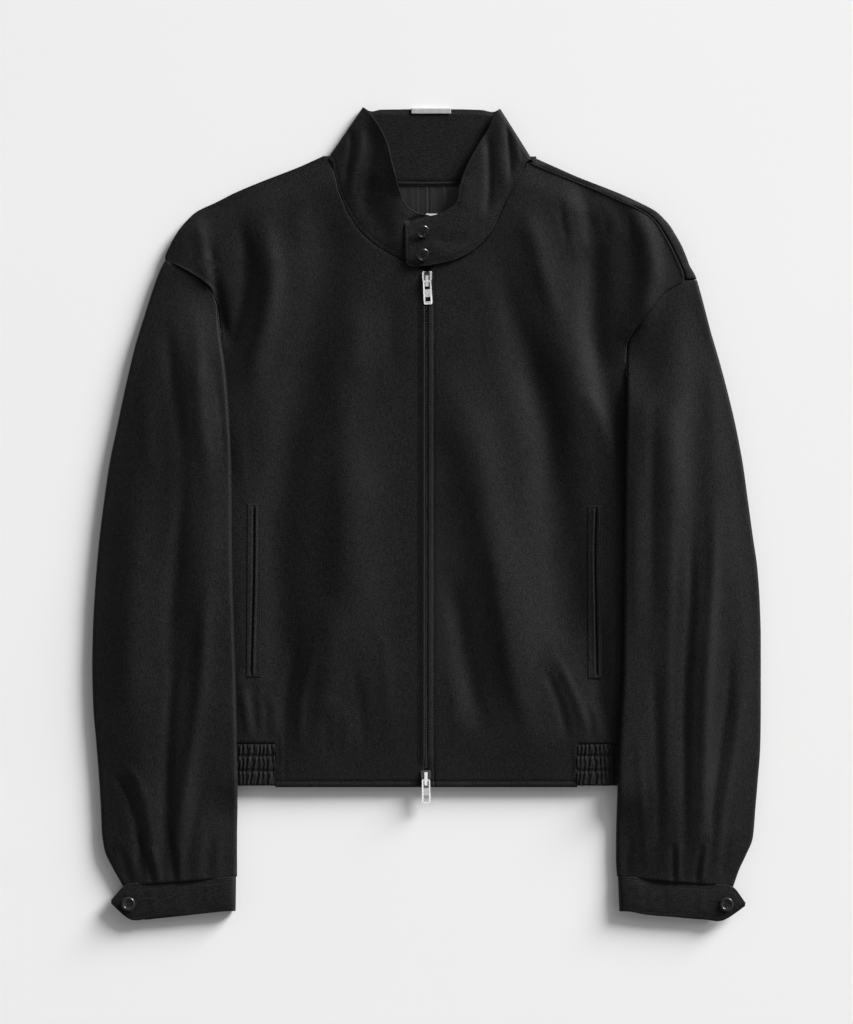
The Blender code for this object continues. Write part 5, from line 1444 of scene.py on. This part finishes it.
def shadePaintedMetal(name, bright, paintedShade):
    # nickel with painted shade inside its rim, so its rim is brightest; the function passed in says where
    # and how much shade is painted
    finish = Finish(name, Metallic=1.0)
    spot = finish.add("ShaderNodeTexCoord", output="Generated")
    across, along, up = [
        finish.add("ShaderNodeSeparateXYZ", None, {"Vector": spot}, axis) for axis in "XYZ"
    ]
    fromMiddle = finish.maths("ABSOLUTE", across - 0.5)
    wear = finish.noise(700.0, 3.0, 0.65)
    # painted shade inside the rim, with random wear on top
    paintedShineAndWear = (1.0 - paintedShade(finish, fromMiddle, along, up)) * (1.0 - (wear - 0.5) * 0.5)
    return finish.give(
        Base_Color=finish.shades(finish.clipped(paintedShineAndWear), (0.012, 0.012, 0.012), (bright, bright, bright)),
        Roughness=0.2 + (wear - 0.5) * 0.2,
        Normal=finish.bump(wear, 0.00003, 0.35),
    )


# painted shade over the tab's inner panel, leaving its rim bright
def tabPaintedShade(finish, fromMiddle, along, up):
    inside = finish.risen(fromMiddle, 0.36, 0.30) * finish.risen(along, 0.02, 0.07)
    return inside * 0.45


def bodyPaintedShade(finish, fromMiddle, along, up):
    # painted shade on the plate beside its crown and on the crown's upper end
    beside = finish.risen(fromMiddle, 0.31, 0.26) * finish.risen(up, 0.75, 0.65)
    crownEnd = finish.risen(fromMiddle, 0.30, 0.26) * finish.risen(along, 0.70, 0.76)
    return finish.maths("MAXIMUM", beside, crownEnd) * 0.95


# painted shade on everything below the slider's top, leaving only the top bright
def narrowPaintedShade(finish, fromMiddle, along, up):
    return finish.risen(up, 0.75, 0.65) * 0.93


# sliders and tabs whose base colour carries painted shade inside the rim
metalParts = {
    "slider_upper": shadePaintedMetal("upperSliderNickel", 0.74, bodyPaintedShade),
    "slider_lower": shadePaintedMetal("lowerSliderNickel", 0.74, narrowPaintedShade),
    "pull_upper": shadePaintedMetal("upperTabNickel", 0.82, tabPaintedShade),
    "pull_lower": shadePaintedMetal("lowerTabNickel", 0.82, tabPaintedShade),
}
zipLine = np.array(zipCut["middle"])


def zipMiddle(down):
    return np.interp(down, zipLine[:, 0], zipLine[:, 1])


def makeTape(sideName):
    cut = zipCut
    side = -1.0 if sideName == "right" else 1.0
    form = FormHeights("zip_tape_" + sideName)
    downs = np.arange(cut["tapeTop"], cut["tapeEnd"], cut["tapeStep"])
    reach = np.linspace(*cut["tapeReach"], cut["tapeColumns"])[None, :]
    across = zipMiddle(downs)[:, None] + side * reach
    down = np.repeat(downs[:, None], reach.shape[1], axis=1)
    # the tape lies a little under the placket and bulges along its cord beside the teeth
    cord = cut["cordRise"] * groove(reach - cut["cordReach"], cut["cordWidth"])
    height = form.read(across, down) - cut["tapeBelow"] + cord
    points = at(across, down, height)
    if side < 0.0:
        points = points[:, ::-1]
    made = clothShell("zipTape" + sideName.capitalize(), points, cut["tapeCloth"], tapeFinish)
    dress(made, "zip_tape_" + sideName)


def boxBeads(name, spots, half, finish):
    # one small chamfered block at every spot, joined as one mesh
    x, y, z = half
    c = 0.3  # the chamfer
    corners = []
    for up, inset in ((-z, 0.0), (z - c, 0.0), (z, c)):
        wide, long = x - inset, y - inset * 0.6
        for sx, sy in ((-1, -1), (1, -1), (1, 1), (-1, 1)):
            corners.append((sx * (wide - c * 0.6), sy * long, up))
            corners.append((sx * wide, sy * (long - c * 0.4), up))
    ring = [0, 2, 3, 5, 4, 6, 7, 1]
    block = np.array(corners) * sheet["mm"]
    layers = [[8 * layer + i for i in ring] for layer in range(3)]
    faces = [layers[0][::-1], layers[2]]
    for lower, upper in zip(layers[:-1], layers[1:]):
        for i in range(8):
            j = (i + 1) % 8
            faces.append([lower[i], lower[j], upper[j], upper[i]])
    points = (block[None, :, :] + np.asarray(spots)[:, None, :]).reshape(-1, 3)
    faces = copied(faces, len(spots), len(corners))
    return meshObject(name, points, faces, finish, False)


def makeTeeth():
    cut = zipCut
    form = FormHeights("zip_chain", radius=1)
    downs = np.arange(cut["chainTop"], cut["chainEnd"], cut["pitch"])
    side = np.where(np.arange(len(downs)) % 2 == 0, 1.0, -1.0)
    middle = zipMiddle(downs)
    height = form.read(middle, downs) - cut["below"]
    spots = at(middle + side * cut["offset"], downs, height)
    dress(boxBeads("zipTeeth", spots, cut["toothHalf"], toothFinish), "zip_chain")


for sideName in ("right", "left"):
    makeTape(sideName)
makeTeeth()
stops = {"spots": at(np.array([424.2, 430.6]), 272.6, 12.2), "half": (1.6, 0.9, 0.7)}
dress(boxBeads("topStops", stops["spots"], stops["half"], polishedFinish))

# sliders and their pull tabs keep their own shape, with their edges worn round
wornEdge = {"width": 0.0003, "segments": 2, "limit_method": "ANGLE", "angle_limit": math.radians(35.0)}
for name, finish in metalParts.items():
    nodes[name].data.materials[0] = finish
    worn = nodes[name].modifiers.new("worn", "BEVEL")
    for setting, value in wornEdge.items():
        setattr(worn, setting, value)

print("buttons")
buttonFace = [
    (0.0, 1.75), (0.6, 1.76), (2.4, 1.8), (3.7, 1.84), (4.1, 2.0), (5.0, 2.66), (5.35, 2.82), (5.7, 2.74),
    (6.55, 2.12), (6.85, 1.8), (6.95, 1.4), (6.6, 0.8), (5.8, 0.35), (4.6, 0.1), (0.0, 0.1),
]
buttonCut = {
    "around": 72,
    "fine": 0.22,
    "faceFrom": 1.4,
    "holes": (45.0, 135.0, 225.0, 315.0),
    "hole": 0.85,
    "holeReach": 1.75,
    "holeDepth": 0.9,
    "threads": (-0.24, 0.0, 0.24),
    "threadReach": 0.72,
    "threadHeight": 1.5,
    "threadRadius": 0.16,
}
buttons = {
    "collarButtonUpper": {
        "node": "collar_button_upper", "spot": (422.8, 232.6, 19.0), "tip": 27.0, "turn": 18.0,
    },
    "collarButtonLower": {
        "node": "collar_button_lower", "spot": (422.8, 255.6, 18.6), "tip": 27.0, "turn": 18.0,
    },
    "cuffButtonRight": {
        "node": "cuff_button_right", "spot": (129.0, 903.0, 11.5), "tip": 0.0, "turn": 24.0,
    },
    "cuffButtonLeft": {
        "node": "cuff_button_left", "spot": (726.0, 903.4, 11.5), "tip": 0.0, "turn": -12.0,
    },
}


def hornFinish(name, coat, coatRoughness, coatIndex, dark, light):
    finish = Finish(
        name, Specular_IOR_Level=0.18, Coat_Weight=coat, Coat_Roughness=coatRoughness, Coat_IOR=coatIndex,
    )
    cloudy = finish.noise(240.0, 3.0, 0.6)
    scuffs = finish.noise(1.0, 2.0, 0.6, finish.stretched((300.0, 2200.0, 900.0), (0.0, 0.0, 0.6)))
    return finish.give(
        Base_Color=finish.shades(cloudy, (dark, dark, dark * 1.05), (light, light * 0.99, light * 0.97)),
        Roughness=0.12 + scuffs * 0.1,
        Normal=finish.bump(scuffs, 0.00003, 0.4),
    )


# the cuffs' buttons are worn duller than the collar's
collarHorn = hornFinish("polishedHorn", 0.95, 0.27, 1.55, 0.0015, 0.005)
cuffHorn = hornFinish("dullHorn", 0.14, 0.42, 1.5, 0.012, 0.026)
threadFinish = clothFinish("buttonThread", **{**twill, "ribs": 0.5, "roughness": 0.6})


def seated(points, button):
    # millimetres on a button of its own, brought to where it sits on the jacket
    turn = Matrix.Rotation(math.radians(button["turn"]), 4, "Z")
    tip = Matrix.Rotation(math.radians(button["tip"]), 4, "X")
    matrix = np.array(Matrix.Translation(Vector(at(*button["spot"]))) @ turn @ tip)
    return np.asarray(points) * sheet["mm"] @ matrix[:3, :3].T + matrix[:3, 3]


def tubeFaces(rows, around, turned=False):
    # quads round every pair of rings and a cap at either end
    faces = []
    for row in range(rows - 1):
        for step in range(around):
            low, following = row * around, (step + 1) % around
            face = [low + step, low + following, low + around + following, low + around + step]
            faces.append([face[i] for i in (0, 3, 2, 1)] if turned else face)
    for cap in (list(range(around))[::-1], list(range((rows - 1) * around, rows * around))):
        faces.append(cap[::-1] if turned else cap)
    return faces


def makeButton(name):
    button, cut = buttons[name], buttonCut
    profile = smoothLine(buttonFace, cut["fine"])
    angles = np.linspace(0.0, 2.0 * math.pi, cut["around"], endpoint=False)
    x = profile[:, :1] * np.cos(angles)[None, :]
    y = profile[:, :1] * np.sin(angles)[None, :]
    z = np.repeat(profile[:, 1:], len(angles), axis=1)
    onFace = z > cut["faceFrom"]
    for turn in np.radians(cut["holes"]):
        away = np.hypot(x - cut["holeReach"] * math.cos(turn), y - cut["holeReach"] * math.sin(turn))
        z -= cut["holeDepth"] * eased(cut["hole"], cut["hole"] * 0.6, away) * onFace
    spots = seated(np.stack([x, y, z], axis=-1)[1:-1].reshape(-1, 3), button)
    faces = tubeFaces(len(profile) - 2, cut["around"], turned=True)
    made = meshObject(name, spots, faces, collarHorn if button["tip"] else cuffHorn)
    dress(made, button["node"])


# rings of a thread: share of its length, share of its radius, rise in radii
threadRings = [(0.0, 0.35, -0.8), (0.16, 0.9, 0.0), (0.5, 1.0, 0.25), (0.84, 0.9, 0.0), (1.0, 0.35, -0.8)]


def makeThreads(name, starts, ends, radius, finish, lift=0.0, sides=6):
    # a plump thread from each start to its end, sunk at both ends
    way = unit(ends - starts)
    length = np.linalg.norm(ends - starts, axis=1, keepdims=True)
    across = unit(np.cross(way, np.array([0.0, 0.0, 1.0])))
    up = np.cross(across, way)
    angles = np.linspace(0.0, 2.0 * math.pi, sides, endpoint=False)[None, :, None]
    ring = (across[:, None, :] * np.cos(angles) + up[:, None, :] * np.sin(angles)) * radius * sheet["mm"]
    rings = []
    for share, size, drop in threadRings:
        centre = starts + way * length * share + up * radius * sheet["mm"] * (drop + lift)
        rings.append(centre[:, None, :] + ring * size)
    points = np.stack(rings, axis=1)
    faces = copied(tubeFaces(len(rings), sides), len(points), len(rings) * sides)
    dress(meshObject(name, points.reshape(-1, 3), faces, finish))


def makeButtonThread(name):
    button, cut = buttons[name], buttonCut
    reach = cut["holeReach"] * cut["threadReach"]
    starts = []
    for offset in cut["threads"]:
        for side in (-1.0, 1.0):
            starts.append((-reach, side * reach + offset, cut["threadHeight"]))
    ends = seated(np.array(starts) * (-1.0, 1.0, 1.0), button)
    makeThreads(name + "Thread", seated(starts, button), ends, cut["threadRadius"], threadFinish, lift=1.8)


for name in buttons:
    makeButton(name)
for name in buttons:
    makeButtonThread(name)

print("sewing")
stitch = {
    "length": 2.5,
    "gap": 0.5,
    "radius": 0.26,
    "lowest": 1.5,
    "steepest": 1.6,
    "zipEdges": {"right": 425.2, "left": 427.4},
    "zipMiddle": 427.0,
}
seamThread = clothFinish("sewingThread", **{**twill, "ribs": 0.45, "light": (0.03, 0.03, 0.031)})


def zipRow(sideName, away, first, last):
    side = -1.0 if sideName == "right" else 1.0
    edge = stitch["zipEdges"][sideName]
    downs = np.linspace(first, last, 12)
    return [(zipMiddle(d) - stitch["zipMiddle"] + edge + side * away, d) for d in downs]


def movedLine(line, away):
    # the same line, a little to one side
    line = smoothLine(line, 4.0)
    step = unit(np.gradient(line, axis=0))
    return line + np.stack([-step[:, 1], step[:, 0]], axis=1) * away


armholes = {
    "right": [(166, 259), (177, 265), (190, 272), (204, 281), (212, 289), (214.6, 297), (217, 304)],
    "left": [(683, 279), (671, 287.5), (660, 296), (650, 310), (640, 323), (631, 335), (627.5, 343)],
}
shoulderLine = [(p[2], p[0]) for p in back["shoulder"][1:]]
collarSeam = [(row[0], row[1]) for row in bands["collar"]["rows"]]
collarEdge = [(row[3], row[4]) for row in bands["collar"]["rows"]]


def weltBox(sideName):
    # two rows along the welt, one along its lip, and one across either end
    first, last = np.array(welts[sideName]["line"])[[0, -1]]
    box = []
    for away, inset in ((-6.0, 1.2), (6.0, 1.2)):
        box.append([first + (away, inset), last + (away, -inset)])
    for end, inset in ((first, 1.4), (last, -1.4)):
        box.append([end + (-5.6, inset), end + (5.6, inset)])
    box.append([first + (4.1, 6.0), last + (4.1, -6.0)])
    return box


def elasticRows(sideName):
    inner, shown = elastics[sideName]["inner"], elastics[sideName]["shown"]
    side = 1.0 if sideName == "right" else -1.0
    rows = [[(shown, row), (inner + side * 11.5, row)] for row in elasticCut["rows"]]
    for away in (3.6, 7.6):
        rows.append([(inner + side * away, 744.5), (inner + side * away, 784.5)])
    return rows


seams = {
    "frontStitches": {
        "on": [*frontPieces.values(), backPiece, *weltPieces.values(), *elasticPieces.values()],
        "lines": [
            zipRow("right", 6.3, 274.0, 785.0), zipRow("left", 6.3, 270.0, 785.0),
            zipRow("right", 1.5, 274.0, 784.0), zipRow("left", 1.5, 270.0, 784.0),
            [(289.0, 781.2), (345.0, 781.4), (417.0, 781.2)],
            [(437.0, 781.2), (505.0, 781.4), (569.0, 781.2)],
            movedLine(armholes["right"], -1.6), movedLine(armholes["left"], 1.6),
            movedLine(shoulderLine, 1.7),
            *weltBox("right"), *weltBox("left"), *elasticRows("right"), *elasticRows("left"),
        ],
    },
    "collarStitches": {
        "on": [bandPieces["collar"]],
        "lines": [
            movedLine(collarSeam[:10], 2.4), movedLine(collarEdge[:10], -4.2),
            movedLine(collarSeam[19:-2], 3.2), movedLine(collarEdge[19:], -4.2),
            movedLine([collarSeam[-3], (407.4, 264.6), collarSeam[-1], collarEdge[-1]], 2.6),
        ],
    },
    "cuffStitches": {
        "on": [bandPieces["cuffRight"], bandPieces["cuffLeft"]],
        "lines": [
            [(231.0, 879.4), (181.0, 883.6), (127.0, 888.0)], [(127.0, 888.0), (116.4, 900.6)],
            [(116.4, 902.4), (130.4, 915.0)], [(131.6, 915.2), (181.0, 911.4), (231.0, 907.4)],
            [(622.4, 878.8), (672.0, 884.0), (731.0, 889.6)], [(731.0, 889.6), (741.0, 903.0)],
            [(741.0, 904.6), (723.4, 916.0)], [(722.0, 916.2), (672.0, 911.4), (622.4, 907.0)],
        ],
    },
}


def sew(name):
    seam = seams[name]
    top = TopOf(*seam["on"])
    pitch = stitch["length"] + stitch["gap"]
    starts, ends = [], []
    for line in seam["lines"]:
        fine = smoothLine(line, pitch)
        starts.append(fine[:-1])
        ends.append(fine[:-1] + np.diff(fine, axis=0) * stitch["length"] / pitch)
    starts, ends = np.concatenate(starts), np.concatenate(ends)
    low, high = top.read(*starts.T), top.read(*ends.T)
    level = (low > stitch["lowest"]) & (high > stitch["lowest"]) & (np.abs(high - low) < stitch["steepest"])
    starts = at(*starts[level].T, low[level])
    ends = at(*ends[level].T, high[level])
    makeThreads(name, starts, ends, stitch["radius"], seamThread)


for name in seams:
    sew(name)

# worked buttonholes: a bar of close stitches round each slit
holeCut = {
    "step": 0.42,
    "inner": 0.18,
    "outer": 1.25,
    "endInner": 0.2,
    "turns": np.arange(-75.0, 76.0, 25.0),
    "radius": 0.22,
}
buttonholes = {
    "collar": [(431.5, 230.5, 440.0, 228.0), (431.5, 253.4, 440.0, 250.8)],
    "cuffRight": [(140.0, 899.6, 151.0, 898.8)],
    "cuffLeft": [(711.5, 899.6, 720.0, 900.4)],
}


def workHole(name):
    top, cut = TopOf(bandPieces[name]), holeCut
    starts, ends = [], []
    for slit in buttonholes[name]:
        first, last = np.array(slit[:2]), np.array(slit[2:])
        length = np.linalg.norm(last - first)
        way = (last - first) / length
        out = np.array([-way[1], way[0]])
        for side in (-1.0, 1.0):
            for reach in np.arange(0.0, length, cut["step"]):
                spot = first + way * reach
                starts.append(spot + out * side * cut["inner"])
                ends.append(spot + out * side * cut["outer"])
        for turn in np.radians(cut["turns"]):
            for spot, forward in ((first, -way), (last, way)):
                aim = forward * math.cos(turn) + out * math.sin(turn)
                starts.append(spot + aim * cut["endInner"])
                ends.append(spot + aim * cut["outer"])
    starts, ends = np.array(starts).T, np.array(ends).T
    starts, ends = at(*starts, top.read(*starts)), at(*ends, top.read(*ends))
    makeThreads(name + "Buttonholes", starts, ends, cut["radius"], seamThread, lift=0.3, sides=5)


for name in buttonholes:
    workHole(name)
